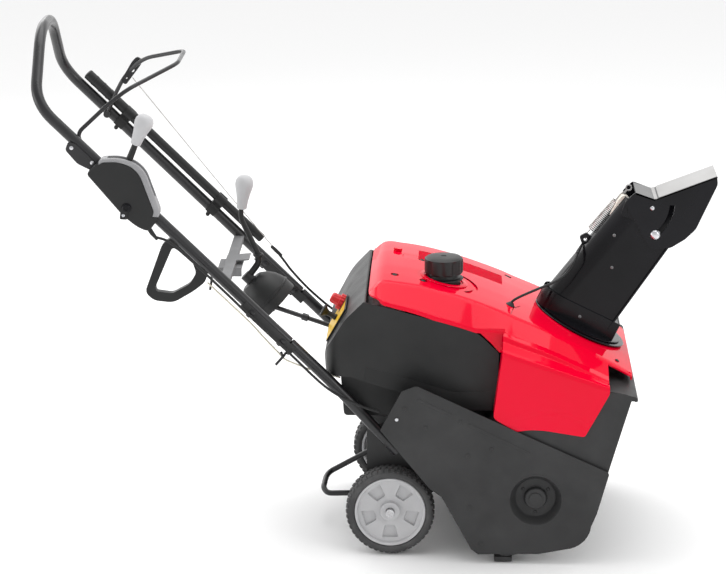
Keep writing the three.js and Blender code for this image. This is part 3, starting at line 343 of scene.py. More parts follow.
PALE = coloured("pale plastic", (0.34, 0.335, 0.33), (0.40, 0.395, 0.39), (0.30, 0.42), 900, 0.10)
CREAM = coloured("cream plastic", (0.78, 0.72, 0.64), (0.84, 0.79, 0.71), (0.35, 0.50), 900, 0.10)
TYRE = coloured("dusty tyre rubber", (0.040, 0.040, 0.041), (0.060, 0.060, 0.061), (0.68, 0.82), 800,
                0.40, dust=0.4,
                dust_tint=(0.16, 0.158, 0.155))
RUBBER = coloured("auger rubber", (0.018, 0.018, 0.019), (0.028, 0.028, 0.029), (0.55, 0.70), 700, 0.35,
                  dust=0.2,
                  dust_tint=(0.10, 0.10, 0.10))
LABEL = coloured("plain yellow label", (0.80, 0.48, 0.02), (0.86, 0.55, 0.03), (0.30, 0.40), 600, 0.08)
KEY_RED = coloured("red key plastic", (0.62, 0.01, 0.015), (0.70, 0.015, 0.02), (0.28, 0.38), 900, 0.12)


# %% Metals and rope
def metal(name, dark, light, rough, grain, bump, stretch=(1, 1, 1)):
    """Bare metal with cloudy brightness and a grain that can be drawn out along one axis."""
    look = Finish(name, Metallic=1.0)
    tint = look.blend(look.steps(look.noise(60, 5.0), 0.35, 0.7), dark, light)
    fine = look.noise(grain, 3.0, look.stretched(stretch))
    look.feed("Base Color", tint)
    look.feed("Roughness", look.steps(fine, 0.3, 0.7, rough[0], rough[1]))
    look.bump(fine, bump, 0.0003)
    return look.material


ZINC = metal("zinc plated steel", (0.50, 0.51, 0.54), (0.72, 0.72, 0.74), (0.22, 0.36), 500, 0.12)
SPRING_STEEL = metal("spring steel", (0.34, 0.32, 0.31), (0.52, 0.50, 0.48), (0.28, 0.42), 600, 0.12)
CAST = metal("cast aluminium", (0.34, 0.35, 0.36), (0.50, 0.51, 0.52), (0.45, 0.62), 380, 0.55)
TURNED = metal("turned steel", (0.42, 0.42, 0.43), (0.60, 0.60, 0.61), (0.22, 0.34), 420, 0.15, (1, 12, 1))

rope_look = Finish("starter rope", Sheen_Weight=0.3)
twist = rope_look.add("ShaderNodeTexWave", {"wave_type": "BANDS", "bands_direction": "DIAGONAL"},
                      {"Vector": rope_look.place, "Scale": 170.0, "Distortion": 1.0}, out=1)
rope_look.feed("Base Color", rope_look.blend(twist, (0.62, 0.58, 0.46), (0.86, 0.82, 0.70)))
rope_look.feed("Roughness", rope_look.steps(twist, 0, 1, 0.85, 0.7))
rope_look.bump(twist, 0.5, 0.0006)
ROPE = rope_look.material
print("finishes:", len(bpy.data.materials))

# %% [markdown]
# ## Tools for making shapes
#
# Nearly everything on this machine is one of four things: a plate cut to an outline, a bent tube, a
# turned part, or a moulded skin drawn through a row of cross sections. Each gets a function that
# returns loose mesh data, so several can be gathered into one finished piece. They all speak
# drawing millimetres and hand over metres.


# %% Routes and outlines
def rounded_path(points, radius, steps=6):
    """The same route with each inner corner turned into a smooth bend."""
    spots = [Vector(p) for p in points]
    route = [spots[0]]
    for before, corner, after in zip(spots, spots[1:], spots[2:]):
        reach = min(radius, (before - corner).length * 0.48, (after - corner).length * 0.48)
        start = corner + (before - corner).normalized() * reach
        end = corner + (after - corner).normalized() * reach
        for k in range(steps + 1):
            t = k / steps
            route.append(start.lerp(corner, t).lerp(corner.lerp(end, t), t))
    route.append(spots[-1])
    return route


def rounded_loop(points, radius, steps=4):
    """A closed outline with every corner rounded; radius may be one number or one per corner."""
    spots = [Vector(p) for p in points]
    loop = []
    for k, corner in enumerate(spots):
        before, after = spots[k - 1], spots[(k + 1) % len(spots)]
        wanted = radius[k] if isinstance(radius, list) else radius
        reach = min(wanted, (before - corner).length * 0.45, (after - corner).length * 0.45)
        if reach < 0.05:
            loop.append(corner)
            continue
        start = corner + (before - corner).normalized() * reach
        end = corner + (after - corner).normalized() * reach
        for j in range(steps + 1):
            t = j / steps
            loop.append(start.lerp(corner, t).lerp(corner.lerp(end, t), t))
    return loop


def flowing_path(points, steps=8):
    """A smooth curve through every point, for cables and cords."""
    spots = [Vector(p) for p in points]
    spots = [spots[0] * 2 - spots[1], *spots, spots[-1] * 2 - spots[-2]]
    route = []
    for a, b, c, d in zip(spots, spots[1:], spots[2:], spots[3:]):
        for k in range(steps):
            t = k / steps
            route.append(0.5 * (2 * b + (c - a) * t + (2 * a - 5 * b + 4 * c - d) * t * t
                                + (3 * b - a - 3 * c + d) * t ** 3))
    route.append(spots[-2])
    return route


def arc(cx, cz, radius, start, end, steps):
    """Points along a circle, angles in degrees."""
    turns = [math.radians(start + (end - start) * k / steps) for k in range(steps + 1)]
    return [(cx + radius * math.cos(a), cz + radius * math.sin(a)) for a in turns]


def circle(cx, cz, radius, count=40):
    """A round hole or disc outline."""
    return arc(cx, cz, radius, 0, 360 - 360 / count, count - 1)


def along(table, x):
    """The value of a table of (x, value) rows at x, straight between its rows."""
    for (x0, v0), (x1, v1) in zip(table, table[1:]):
        if x <= x1 or (x1, v1) == table[-1]:
            return v0 + (v1 - v0) * (x - x0) / (x1 - x0)
    return table[-1][1]


# %% Plates, tubes, turned parts and skins
def soften(part, width, segments=2, angle=28):
    """Rounds every edge that is sharper than angle."""
    sharp = [e for e in part.edges if len(e.link_faces) == 2 and e.calc_face_angle(0) > math.radians(angle)]
    bmesh.ops.bevel(part, geom=sharp, offset=width * MM, segments=segments, profile=0.5,
                    affect="EDGES", clamp_overlap=True)
    return part


def skin(rings, closed_ring=True, closed_run=False, caps=True):
    """Joins a row of equal rings of points with faces."""
    part = bmesh.new()
    rows = [[part.verts.new(at(*p)) for p in ring] for ring in rings]
    count = len(rows[0])
    pairs = list(zip(rows, rows[1:])) + ([(rows[-1], rows[0])] if closed_run else [])
    for low, high in pairs:
        for k in range(count if closed_ring else count - 1):
            n = (k + 1) % count
            part.faces.new((low[k], low[n], high[n], high[k]))
    if caps and not closed_run and closed_ring:
        part.faces.new(rows[0][::-1])
        part.faces.new(rows[-1])
    bmesh.ops.remove_doubles(part, verts=part.verts, dist=1e-7)
    bmesh.ops.recalc_face_normals(part, faces=part.faces)
    return part


def plate(outline, y0, y1, edge=0.0, holes=(), segments=2):
    """A sheet cut to an XZ outline, between two Y positions."""
    part = bmesh.new()
    loops = [list(outline), *[list(h) for h in holes]]
    flat = [p for loop in loops for p in loop]
    sides = [[part.verts.new(at(p[0], y, p[1])) for p in flat] for y in (y0, y1)]
    if holes:
        triangles = tessellate_polygon([[Vector((p[0], p[1], 0)) for p in loop] for loop in loops])
        for corners in triangles:
            part.faces.new([sides[0][k] for k in corners])
            part.faces.new([sides[1][k] for k in reversed(corners)])
    else:
        part.faces.new(sides[0])
        part.faces.new(sides[1][::-1])
    start = 0
    for loop in loops:
        for k in range(len(loop)):
            a, b = start + k, start + (k + 1) % len(loop)
            part.faces.new((sides[0][a], sides[0][b], sides[1][b], sides[1][a]))
        start += len(loop)
    bmesh.ops.recalc_face_normals(part, faces=part.faces)
    if edge:
        soften(part, edge, segments)
    return part


def tube(path, radius, sides=18, dome=0.35):
    """A round bar along a route; radius is one number or one per point. Its ends are slightly domed."""
    spots = [Vector(p) for p in path]
    spots = [p for k, p in enumerate(spots) if k == 0 or (p - spots[k - 1]).length > 1e-4]
    radii = radius if isinstance(radius, list) else [radius] * len(spots)
    headings = [(b - a).normalized() for a, b in zip(spots, spots[1:])]
    joins = [(a + b).normalized() for a, b in zip(headings, headings[1:])]
    tangents = [headings[0], *joins, headings[-1]]
    normal = tangents[0].orthogonal().normalized()
    rings = []
    for k, (spot, tangent) in enumerate(zip(spots, tangents)):
        if k:
            normal = (tangents[k - 1].rotation_difference(tangent) @ normal).normalized()
        side = tangent.cross(normal)
        turns = [math.tau * j / sides for j in range(sides)]
        steps = [(0.0, 1.0)]
        if dome and k in (0, len(spots) - 1):
            sign = -1 if k == 0 else 1
            steps = [(sign * radii[k] * dome * (math.sin(a) - 1), math.cos(a))
                     for a in (0.0, 0.6, 1.1, 1.45)]
            if k == 0:
                steps.reverse()
        for shift, share in steps:
            centre = spot + tangent * shift
            rings.append([centre + (normal * math.cos(a) + side * math.sin(a)) * radii[k] * share
                          for a in turns])
    return skin(rings)


def turned(profile, centre, axis, segments=36, closed=False):
    """A part turned on a lathe: profile rows are (radius, height along axis) from centre."""
    axis = Vector(axis).normalized()
    across = axis.orthogonal().normalized()
    third = axis.cross(across)
    centre = Vector(centre)
    rings = []
    for k in range(segments):
        a = math.tau * k / segments
        out = across * math.cos(a) + third * math.sin(a)
        rings.append([centre + out * r + axis * h for r, h in profile])
    part = bmesh.new()
    rows = [[part.verts.new(at(*p)) for p in ring] for ring in rings]
    last = len(profile) if closed else len(profile) - 1
    for k, row in enumerate(rows):
        other = rows[(k + 1) % segments]
        for j in range(last):
            n = (j + 1) % len(profile)
            part.faces.new((row[j], row[n], other[n], other[j]))
    bmesh.ops.remove_doubles(part, verts=part.verts, dist=1e-7)
    bmesh.ops.dissolve_degenerate(part, edges=part.edges, dist=1e-7)
    bmesh.ops.recalc_face_normals(part, faces=part.faces)
    return part


def block(x0, x1, y0, y1, z0, z1, edge=1.0):
    """A rectangular moulding with rounded edges."""
    return plate([(x0, z0), (x1, z0), (x1, z1), (x0, z1)], y0, y1, edge)


# %% Cutting and gathering
def loose_object(part):
    mesh = bpy.data.meshes.new("work")
    part.to_mesh(mesh)
    obj = bpy.data.objects.new("work", mesh)
    scene.collection.objects.link(obj)
    return obj


def baked(obj):
    """The evaluated mesh of a working object, which is then thrown away."""
    view = bpy.context.evaluated_depsgraph_get()
    mesh = bpy.data.meshes.new_from_object(obj.evaluated_get(view), preserve_all_data_layers=True,
                                           depsgraph=view)
    bpy.data.objects.remove(obj, do_unlink=True)
    return mesh


def carve(part, *tools, operation="DIFFERENCE"):
    """Cuts tools out of part, or keeps only what they share with it."""
    body = loose_object(part)
    helpers = []
    for tool in tools:
        helper = loose_object(tool)
        helper.hide_render = True
        step = body.modifiers.new("cut", "BOOLEAN")
        step.operation = operation
        step.solver = "EXACT"
        step.object = helper
        helpers.append(helper)
    mesh = baked(body)
    for helper in helpers:
        bpy.data.objects.remove(helper, do_unlink=True)
    result = bmesh.new()
    result.from_mesh(mesh)
    bmesh.ops.remove_doubles(result, verts=result.verts, dist=2e-6)
    return result


class Piece:
    """Gathers loose parts, each in its finish, into one object, which rides on a body when one is given."""

    def __init__(self):
        self.mesh = bmesh.new()
        self.finishes = []

    def add(self, part, finish):
        if finish not in self.finishes:
            self.finishes.append(finish)
        for face in part.faces:
            face.material_index = self.finishes.index(finish)
        holder = bpy.data.meshes.new("part")
        part.to_mesh(holder)
        self.mesh.from_mesh(holder)
        part.free()
        bpy.data.meshes.remove(holder)
        return self

    def done(self, name, body, slot, replaces=(), sharp=32):
        mesh = bpy.data.meshes.new(name)
        self.mesh.to_mesh(mesh)
        self.mesh.free()
        mesh.shade_smooth()
        mesh.set_sharp_from_angle(angle=math.radians(sharp))
        for finish in self.finishes:
            mesh.materials.append(finish)
        work = bpy.data.objects.new(name, mesh)
        scene.collection.objects.link(work)
        flat = work.modifiers.new("even shading", "WEIGHTED_NORMAL")
        flat.keep_sharp = True
        obj = finished(work, name, body)
        if replaces:
            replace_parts(obj, *replaces)
        return obj


made = []


def finished(work, name, body):
    """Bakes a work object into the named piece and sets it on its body."""
    final = baked(work)
    final.name = name
    obj = bpy.data.objects.new(name, final)
    scene.collection.objects.link(obj)
    if body:
        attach(obj, body)
    made.append((name, len(final.polygons)))
    return obj


print("shape tools ready")

# %% [markdown]
# ## Fasteners that repeat
#
# A machine like this is held together by dozens of the same few screws. Drawing each one by hand
# would make them slightly different, so one Geometry Nodes tree puts a copy of a fastener on every
# point it is given. Each point carries the direction that the head faces, and the copies are turned
# to it. The result is realised into plain mesh, because copies that share data do not export.


# %% The fastener tree
def fastener_shape(profile, sides, recess=0.0):
    """A screw head standing on the XY plane, turned from a profile, with an optional cross recess."""
    head = turned(profile, (-AXLE_X / MM, 0, 0), (0, 0, 1), sides)
    if recess:
        for angle in (0, 90):
            foot = 0.35 * profile[-1][1]
            bar = plate([(-recess, foot), (recess, foot), (recess, 9), (-recess, 9)],
                        -recess * 0.22, recess * 0.22)
            bmesh.ops.translate(bar, verts=bar.verts, vec=(-AXLE_X, 0, 0))
            bmesh.ops.rotate(bar, verts=bar.verts, cent=(0, 0, 0),
                             matrix=Matrix.Rotation(math.radians(angle), 3, "Z"))
            head = carve(head, bar)
    mesh = bpy.data.meshes.new("fastener")
    head.to_mesh(mesh)
    mesh.shade_smooth()
    mesh.set_sharp_from_angle(angle=math.radians(32))
    obj = bpy.data.objects.new("fastener", mesh)
    scene.collection.objects.link(obj)
    return obj


def fastener_tree():
    """Points with a 'facing' vector, and perhaps an 'across' vector, in; heads with a finish out."""
    tree = bpy.data.node_groups.new("fasteners on points", "GeometryNodeTree")
    face = tree.interface
    face.new_socket("Points", in_out="INPUT", socket_type="NodeSocketGeometry")
    face.new_socket("Head", in_out="INPUT", socket_type="NodeSocketObject")
    face.new_socket("Size", in_out="INPUT", socket_type="NodeSocketFloat").default_value = 1.0
    face.new_socket("Finish", in_out="INPUT", socket_type="NodeSocketMaterial")
    face.new_socket("Fasteners", in_out="OUTPUT", socket_type="NodeSocketGeometry")
    new, link = tree.nodes.new, tree.links.new
    given, out = new("NodeGroupInput"), new("NodeGroupOutput")
    facing = new("GeometryNodeInputNamedAttribute")
    facing.data_type = "FLOAT_VECTOR"
    facing.inputs["Name"].default_value = "facing"
    across = new("GeometryNodeInputNamedAttribute")
    across.data_type = "FLOAT_VECTOR"
    across.inputs["Name"].default_value = "across"
    turn = new("FunctionNodeAlignRotationToVector")
    turn.axis = "Z"
    square = new("FunctionNodeAlignRotationToVector")
    square.axis, square.pivot_axis = "X", "Z"
    info = new("GeometryNodeObjectInfo")
    copies = new("GeometryNodeInstanceOnPoints")
    real, paint = new("GeometryNodeRealizeInstances"), new("GeometryNodeSetMaterial")
    link(facing.outputs["Attribute"], turn.inputs["Vector"])
    link(given.outputs["Head"], info.inputs["Object"])
    link(given.outputs["Points"], copies.inputs["Points"])
    link(info.outputs["Geometry"], copies.inputs["Instance"])
    link(turn.outputs["Rotation"], square.inputs["Rotation"])
    link(across.outputs["Attribute"], square.inputs["Vector"])
    link(square.outputs["Rotation"], copies.inputs["Rotation"])
    link(given.outputs["Size"], copies.inputs["Scale"])
    link(copies.outputs["Instances"], real.inputs["Geometry"])
    link(real.outputs["Geometry"], paint.inputs["Geometry"])
    link(given.outputs["Finish"], paint.inputs["Material"])
    link(paint.outputs["Geometry"], out.inputs["Fasteners"])
    return tree


def set_inputs(modifier, **values):
    """Sets a tree's named inputs through their identifiers."""
    sockets = {s.name.replace(" ", "_"): s.identifier for s in modifier.node_group.interface.items_tree
               if s.item_type == "SOCKET" and s.in_out == "INPUT"}
    for name, value in values.items():
        modifier[sockets[name]] = value


# %% Heads and the fasten helper
FASTENERS = fastener_tree()
HEADS = {
    "hex": fastener_shape([(0, 0), (5.6, 0), (5.6, 1.0), (5.0, 3.6), (4.2, 4.0), (0, 4.0)], 6),
    "flange": fastener_shape(
        [(0, 0), (5.4, 0), (5.4, 0.9), (4.1, 1.2), (3.9, 3.4), (3.2, 3.8), (0, 3.8)], 12),
    "pan": fastener_shape([(0, 0), (4.4, 0), (4.2, 1.3), (3.2, 2.2), (1.6, 2.7), (0, 2.8)], 20, recess=2.2),
    "rivet": fastener_shape([(0, 0), (4.2, 0), (3.8, 1.0), (2.6, 1.9), (1.2, 2.3), (0, 2.4)], 20),
    "plate": fastener_shape(
        [(0, 0), (4.8, 0), (4.8, 0.5), (3.6, 0.8), (3.4, 1.2), (1.4, 1.3), (0, 0.7)], 20),
}


def fasten(name, head, spots, body, finish, size=1.0):
    """Heads of one kind on rows of (place in drawing millimetres, facing and perhaps across direction)."""
    cloud = bpy.data.meshes.new(name + "_points")
    cloud.from_pydata([at(*spot[0]) for spot in spots], [], [])
    for column, word in enumerate(("facing", "across")[:len(spots[0]) - 1], 1):
        direction = cloud.attributes.new(word, "FLOAT_VECTOR", "POINT")
        for k, spot in enumerate(spots):
            direction.data[k].vector = Vector(spot[column]).normalized()
    work = bpy.data.objects.new(name + "_points", cloud)
    scene.collection.objects.link(work)
    step = work.modifiers.new("fasteners", "NODES")
    step.node_group = FASTENERS
    set_inputs(step, Head=HEADS[head], Size=size, Finish=finish)
    return finished(work, name, body)


print("fastener kinds:", ", ".join(HEADS))


# %% [markdown]
# ## The auger housing and its side plates
#
# Two flat steel plates carry everything, and a scroll of moulded skin between them leads snow from
# the auger to the chute. The plates are cut to an outline with a small broken edge, because that
# edge is what draws the bright line round them. Stiffening ribs are pressed outwards, and the right
# plate has a dished well so that the auger bearing sits inside the width of the machine.

# %% Side plates
SIDES = ((-1, "right"), (1, "left"))
PLATE_OUT = 254.6
PLATE_THICK = 2.5
AUGER = (276, 127)
WELL_RIM = 51
PLATE_OUTLINE = [
    (-18, 263), (22, 340), *arc(49, 336, 14, 120, 60, 4), (246, 260), (411, 185), (413, 180), (392, 102),
    *arc(330, 82, 52, -5, -75, 8), (284, 20), (168, 18), (155, 28), (98, 132), (76, 148)]
RIBS = [((52, 325), (119, 293)), ((148, 277), (264, 220))]
PLATE_BOLTS = [(28, 306), (13, 285), (67, 269), (133, 281), (147, 215), (192, 228), (151, 112), (174, 39)]


def side_plate(side, holes):
    """One flat plate with its two pressed ribs, side being -1 on the right and 1 on the left."""
    piece = Piece()
    piece.add(plate(PLATE_OUTLINE, side * PLATE_OUT, side * (PLATE_OUT - PLATE_THICK), 0.7, holes), POWDER)
    for (x0, z0), (x1, z1) in RIBS:
        ridge = tube([(x0, 0, z0), (x1, 0, z1)], 3.2, 14, 1.0)
        bmesh.ops.scale(ridge, verts=ridge.verts, vec=(1, 0.45, 1))
        bmesh.ops.translate(ridge, verts=ridge.verts, vec=(0, side * PLATE_OUT * MM, 0))
        piece.add(ridge, POWDER)
    return piece


well = [(WELL_RIM + 1.5, 0.4), (WELL_RIM - 1.5, 0.2), (WELL_RIM - 4, -2), (40, -19), (37.5, -21),
        (23, -21), (21.5, -20), (20.5, -12), (19, -10.5), (10, -10.5), (9, -12), (9, -24), (38, -24),
        (42, -22), (WELL_RIM - 1.5, -3.2), (WELL_RIM + 1.5, -2.2)]
right_plate = side_plate(-1, [circle(*AUGER, WELL_RIM)])
right_plate.add(turned(well, (AUGER[0], -PLATE_OUT, AUGER[1]), (0, -1, 0), 64, closed=True), POWDER)
right_plate.done("side_plate_right_skin", "machine", "black_paint",
                 ["side_plate_right", "auger_bearing_right"])
side_plate(1, []).done("side_plate_left_skin", "machine", "black_paint", ["side_plate_left"])
for side, label in SIDES:
    bolt_spots = [((x, side * PLATE_OUT, z), (0, side, 0)) for x, z in PLATE_BOLTS]
    fasten("plate_bolts_" + label, "plate", bolt_spots, "machine", POWDER)
fasten("bearing_bolts", "rivet",
       [((AUGER[0] + 29 * math.cos(a), -PLATE_OUT + 21, AUGER[1] + 29 * math.sin(a)), (0, -1, 0))
        for a in (math.radians(d) for d in (35, 145, 270))], "machine", POWDER, 0.8)
fasten("frame_bolt_bright", "flange", [((13, -PLATE_OUT + 2, 285), (0, -1, 0))],
       "machine", ZINC, 0.9)
print("plates and wells:", made[-4:])

# %% Auger housing
CHEEK = 247
SCROLL_R = 128
ROOF_REAR, ROOF_FRONT = (243, 352), (440, 335)
LIP = (463, 330.5)
scroll_line = [*arc(*AUGER, SCROLL_R + 1.5, 242, 150, 22), (ROOF_REAR[0] - 6, ROOF_REAR[1] - 2),
               (300, 352.5), (ROOF_FRONT[0] - 10, 337), (LIP[0] - 3, 329.5), (LIP[0] - 0.5, 327.5),
               (LIP[0] - 0.5, 322)]


def offset_line(line, away):
    """The same open line moved sideways by away."""
    moved = []
    for k, (x, z) in enumerate(line):
        x0, z0 = line[max(0, k - 1)]
        x1, z1 = line[min(len(line) - 1, k + 1)]
        length = math.hypot(x1 - x0, z1 - z0)
        moved.append((x - (z1 - z0) / length * away, z + (x1 - x0) / length * away))
    return moved


scroll_outline = offset_line(scroll_line, 1.5) + offset_line(scroll_line, -1.5)[::-1]
CHUTE = (359, 398)
TILT = math.radians(25.9)
CHUTE_N = Vector((math.sin(TILT), 0, math.cos(TILT)))


def throat_rod(radius, low, high):
    """A round bar on the chute's turning axis, to cut the throat with."""
    centre = Vector((CHUTE[0], 0, CHUTE[1]))
    return tube([centre + CHUTE_N * low, centre + CHUTE_N * high], radius, 48, 0)


cheek_outline = [
    (222, 12), *arc(*AUGER, SCROLL_R + 1, 242, 155, 20), (ROOF_REAR[0] - 2, ROOF_REAR[1] + 2),
    (ROOF_FRONT[0], ROOF_FRONT[1] + 2), (LIP[0] - 1, 330), (LIP[0] - 1, 323), (452, 323),
    (413, 186), (392, 102), (364, 58), (312, 34), (284, 24)]
LEFT_CUT = [(100, 0), (420, 0), (390, 110), (402, 178), (262, 244), (240, 285), (100, 300)]
housing = Piece()
housing.add(carve(plate(scroll_outline, -CHEEK + 2.8, CHEEK - 2.8), throat_rod(76, -120, 10),
                  block(90, 430, 224, 260, 0, 296, 0)), POWDER)
housing.add(plate(cheek_outline, -CHEEK, -CHEEK + 3, 0.6, [circle(*AUGER, 46)]), POWDER)
housing.add(carve(plate(cheek_outline, CHEEK - 3, CHEEK), plate(LEFT_CUT, CHEEK - 20, CHEEK + 10)), POWDER)
lip_bead = tube([(LIP[0] - 2.6, -CHEEK + 4, 322.5), (LIP[0] - 2.6, CHEEK - 4, 322.5)], 2.2, 12)
housing.add(lip_bead, POWDER)
housing.done("auger_housing_skin", "machine", "black_paint", ["auger_housing"])

scraper = Piece()
scraper.add(block(199, 233, -CHEEK + 1, CHEEK - 1, 0.5, 10.5, 1.6), RUBBER)
scraper.done("scraper_bar_skin", "machine", "rubber", ["scraper_bar"])
fasten("scraper_bolts", "hex", [((216, y, 10.4), (0, 0, 1)) for y in (-170, -85, 0, 85, 170)],
       "machine", ZINC)
print("housing:", made[-3:])

# %% [markdown]
# ## The rubber auger
#
# A single-stage machine throws snow with rubber paddles that touch the ground. They are flat across
# the middle, where they throw, and twisted towards the ends, where they carry snow inwards. The
# paddle is a skin drawn through cross sections along the shaft, each turned a little further, which
# is the same rule as a propeller. Steel clamps hold it to the tube.

# %% Rotor
PADDLE_REACH = 117
PADDLE_FLAT = 45
PADDLE_TWIST = 0.0085
PADDLE_LEAN = 0.55
PADDLE_START = 0.6
ROTOR_ENDS = (-221, 208)
ROTOR_STATIONS = 44
CLAMP_R = 40
BLADE = [(12, 4.5), (30, 4.2), (48, 3.8), (66, 3.6), (84, 3.6), (100, 3.6), (112, 3.4), (115.5, 2.6),
         (PADDLE_REACH, 1.0)]


def paddle_spot(y, start, r):
    """A place on the middle of the blade at radius r, and the direction across it."""
    twist = start + max(0.0, abs(y) - PADDLE_FLAT) * PADDLE_TWIST
    lean = twist - PADDLE_LEAN * (r / PADDLE_REACH) ** 2
    spot = Vector((AUGER[0] + r * math.cos(lean), y, AUGER[1] + r * math.sin(lean)))
    return spot, Vector((-math.sin(lean), 0, math.cos(lean)))


def paddle_section(y, start):
    """A curved blade section, thick at the root and rounded at its tip."""
    inner, outer = [], []
    for r, half in BLADE:
        spot, aside = paddle_spot(y, start, r)
        inner.append(spot + aside * half)
        outer.append(spot - aside * half)
    return inner + outer[::-1]


rotor = Piece()
low, high = ROTOR_ENDS
stations = [low + (high - low) * k / ROTOR_STATIONS for k in range(ROTOR_STATIONS + 1)]
for start in (PADDLE_START, PADDLE_START + math.pi):
    rotor.add(skin([paddle_section(y, start) for y in stations]), RUBBER)
rotor.add(turned([(12.5, low), (16.2, low), (17, low + 1), (17, high - 1), (16.2, high), (12.5, high)],
                 (AUGER[0], 0, AUGER[1]), (0, 1, 0), 40, closed=True), RUBBER)
rotor.done("auger_rotor_skin", "auger", "rubber", ["auger_rotor"])
clamp_spots = []
for y in (-160, -80, 0, 80, 160):
    for turn_by in (0, math.pi):
        spot, aside = paddle_spot(y, PADDLE_START + turn_by, CLAMP_R)
        clamp_spots += [(spot + aside * 4.0, aside), (spot - aside * 4.0, -aside)]
fasten("paddle_bolts", "hex", clamp_spots, "auger", ZINC, 0.8)
print("rotor:", made[-2:])

# %% [markdown]
# ## Wheels
#
# The wheels are blow-moulded grey rims with five shallow pockets in the face, inside a hard rubber
# tyre. The tyre body is turned on a lathe. Its tread blocks repeat round the rim in three rows, so
# one block is drawn and the fastener tree, with a second direction to keep it square to the
# tread, sets it on every point of the circle.

# %% Tyres and rims
WHEEL_R = 85
WHEEL_Y = 192
RIM_R = 68
tyre_profile = [
    (RIM_R + 0.3, -18), (RIM_R + 1.5, -20.6), (RIM_R + 5, -22.2), (76, -22.3), (79.6, -21), (82, -17.5),
    (82.8, -12), (82.9, 0), (82.8, 12), (82, 17.5), (79.6, 21), (76, 22.3), (RIM_R + 5, 22.2),
    (RIM_R + 1.5, 20.6), (RIM_R + 0.3, 18)]
rim_profile = [
    (8.6, -18), (17, -18.4), (18.6, -17.4), (19, -11), (20.5, -9.6), (28, -9.4), (30, -10.4), (58, -11.4),
    (61, -12.4), (62.5, -18.6), (64, -20), (67, -20), (67.8, -19), (67.8, 19), (67, 20), (64, 20),
    (62.5, 18.6), (61, 8), (58, 5), (30, 4), (20.5, 5), (18, 17), (8.6, 17.4)]
POCKETS = 5
TREAD_BLOCKS = 46


def pocket_tool(turn_by):
    """A tapered block that presses one pocket into the rim's face."""
    rings = []
    for depth, grow in ((-16, 1.6), (-4.4, -1.4)):
        shape = [(29.5 - grow, -9.5 - grow), (29.5 - grow, 9.5 + grow), (53.5 + grow, 15.5 + grow),
                 (53.5 + grow, -15.5 - grow)]
        loop = rounded_loop([(x, z, 0) for x, z in shape], 3.0, 3)
        c, s = math.cos(turn_by), math.sin(turn_by)
        rings.append([(r * c - t * s, depth, r * s + t * c) for r, t, _ in loop])
    return skin(rings)


def wheel_part(part, side):
    """Moves a part drawn at the axle out to its wheel, mirrored for the left one."""
    if side > 0:
        bmesh.ops.scale(part, verts=part.verts, vec=(1, -1, 1))
        bmesh.ops.reverse_faces(part, faces=part.faces)
    bmesh.ops.translate(part, verts=part.verts, vec=(0, side * WHEEL_Y * MM, WHEEL_R * MM))
    return part


lug = soften(block(-3.4, 3.4, -5.2, 5.2, -0.6, 2.0, 0), 0.7, 1)
bmesh.ops.translate(lug, verts=lug.verts, vec=(-AXLE_X, 0, 0))
HEADS["lug"] = loose_object(lug)
nut_profile = [(0, -19.5), (4.8, -19.5), (5, -19), (5, -16), (8.6, -15.5), (10.4, -14.6), (11, -13.8),
               (11, -12.5), (0, -12.5)]
for side, label in SIDES:
    tyre = Piece()
    tyre.add(wheel_part(turned(tyre_profile, (0, 0, 0), (0, 1, 0), 72, closed=True), side), TYRE)
    tyre.done("tyre_%s_body" % label, "wheel_" + label, "tyre", ["tyre_" + label])
    rim_body = turned(rim_profile, (0, 0, 0), (0, 1, 0), 80, closed=True)
    for k in range(POCKETS):
        rim_body = carve(rim_body, pocket_tool(-math.pi / 2 + k * math.tau / POCKETS))
    rim = Piece()
    rim.add(wheel_part(rim_body, side), GREY)
    rim.add(wheel_part(turned(nut_profile, (0, 0, 0), (0, 1, 0), 32), side), ZINC)
    rim.done("rim_%s_body" % label, "wheel_" + label, "grey_plastic", ["rim_" + label])
    blocks = []
    for row, (offset, radius, lean) in enumerate(((-15.5, 81.8, -0.28), (0, 82.9, 0), (15.5, 81.8, 0.28))):
        for k in range(TREAD_BLOCKS):
            a = math.tau * (k + 0.5 * (row == 1)) / TREAD_BLOCKS
            outward = Vector((math.cos(a) * math.cos(lean), math.sin(lean), math.sin(a) * math.cos(lean)))
            blocks.append(((radius * math.cos(a), side * WHEEL_Y + offset, WHEEL_R + radius * math.sin(a)),
                           outward, Vector((-math.sin(a), 0, math.cos(a)))))
    fasten("tread_%s" % label, "lug", blocks, "wheel_" + label, TYRE)
print("wheels:", made[-6:])

# %% [markdown]
# ## The red hood
#
# The hood is one thin moulding: a crowned top, a rolled shoulder, a plain band below it, and two
# narrow ledges that lead out to the wide side panels. Its shape follows a rule along the machine, so
# it is drawn through cross sections. Each section is a short outline whose corners are rounded by
# the same amount, and the row of sections is trimmed by the outline seen from above.

# %% Hood sections
CREASE = [(-44, 506), (-19, 526), (15, 524), (54, 518), (99, 507), (149, 492), (206, 471), (240, 456),
          (288, 436), (320, 421), (411, 375), (452, 352), (459, 348)]
BAND_DROP = [(-44, 5), (-12, 30), (81, 42), (160, 42), (195, 30), (411, 22), (452, 16)]
CREASE_HALF = 155
BODY_HALF = 198
CROWN = 6
WALL = 2.8
crease_line = [(p.x, p.z) for p in flowing_path([(x, 0, z) for x, z in CREASE], 5)]


def crease_z(x):
    """Height of the edge between the hood's top and its shoulder."""
    return along(crease_line, x)


def band_z(x):
    """Height of the lower edge of the plain band."""
    return crease_z(x) - along(BAND_DROP, x)


def hood_z(x, y):
    """Height of the crowned top."""
    return crease_z(x) + CROWN * (1 - (y / CREASE_HALF) ** 2)


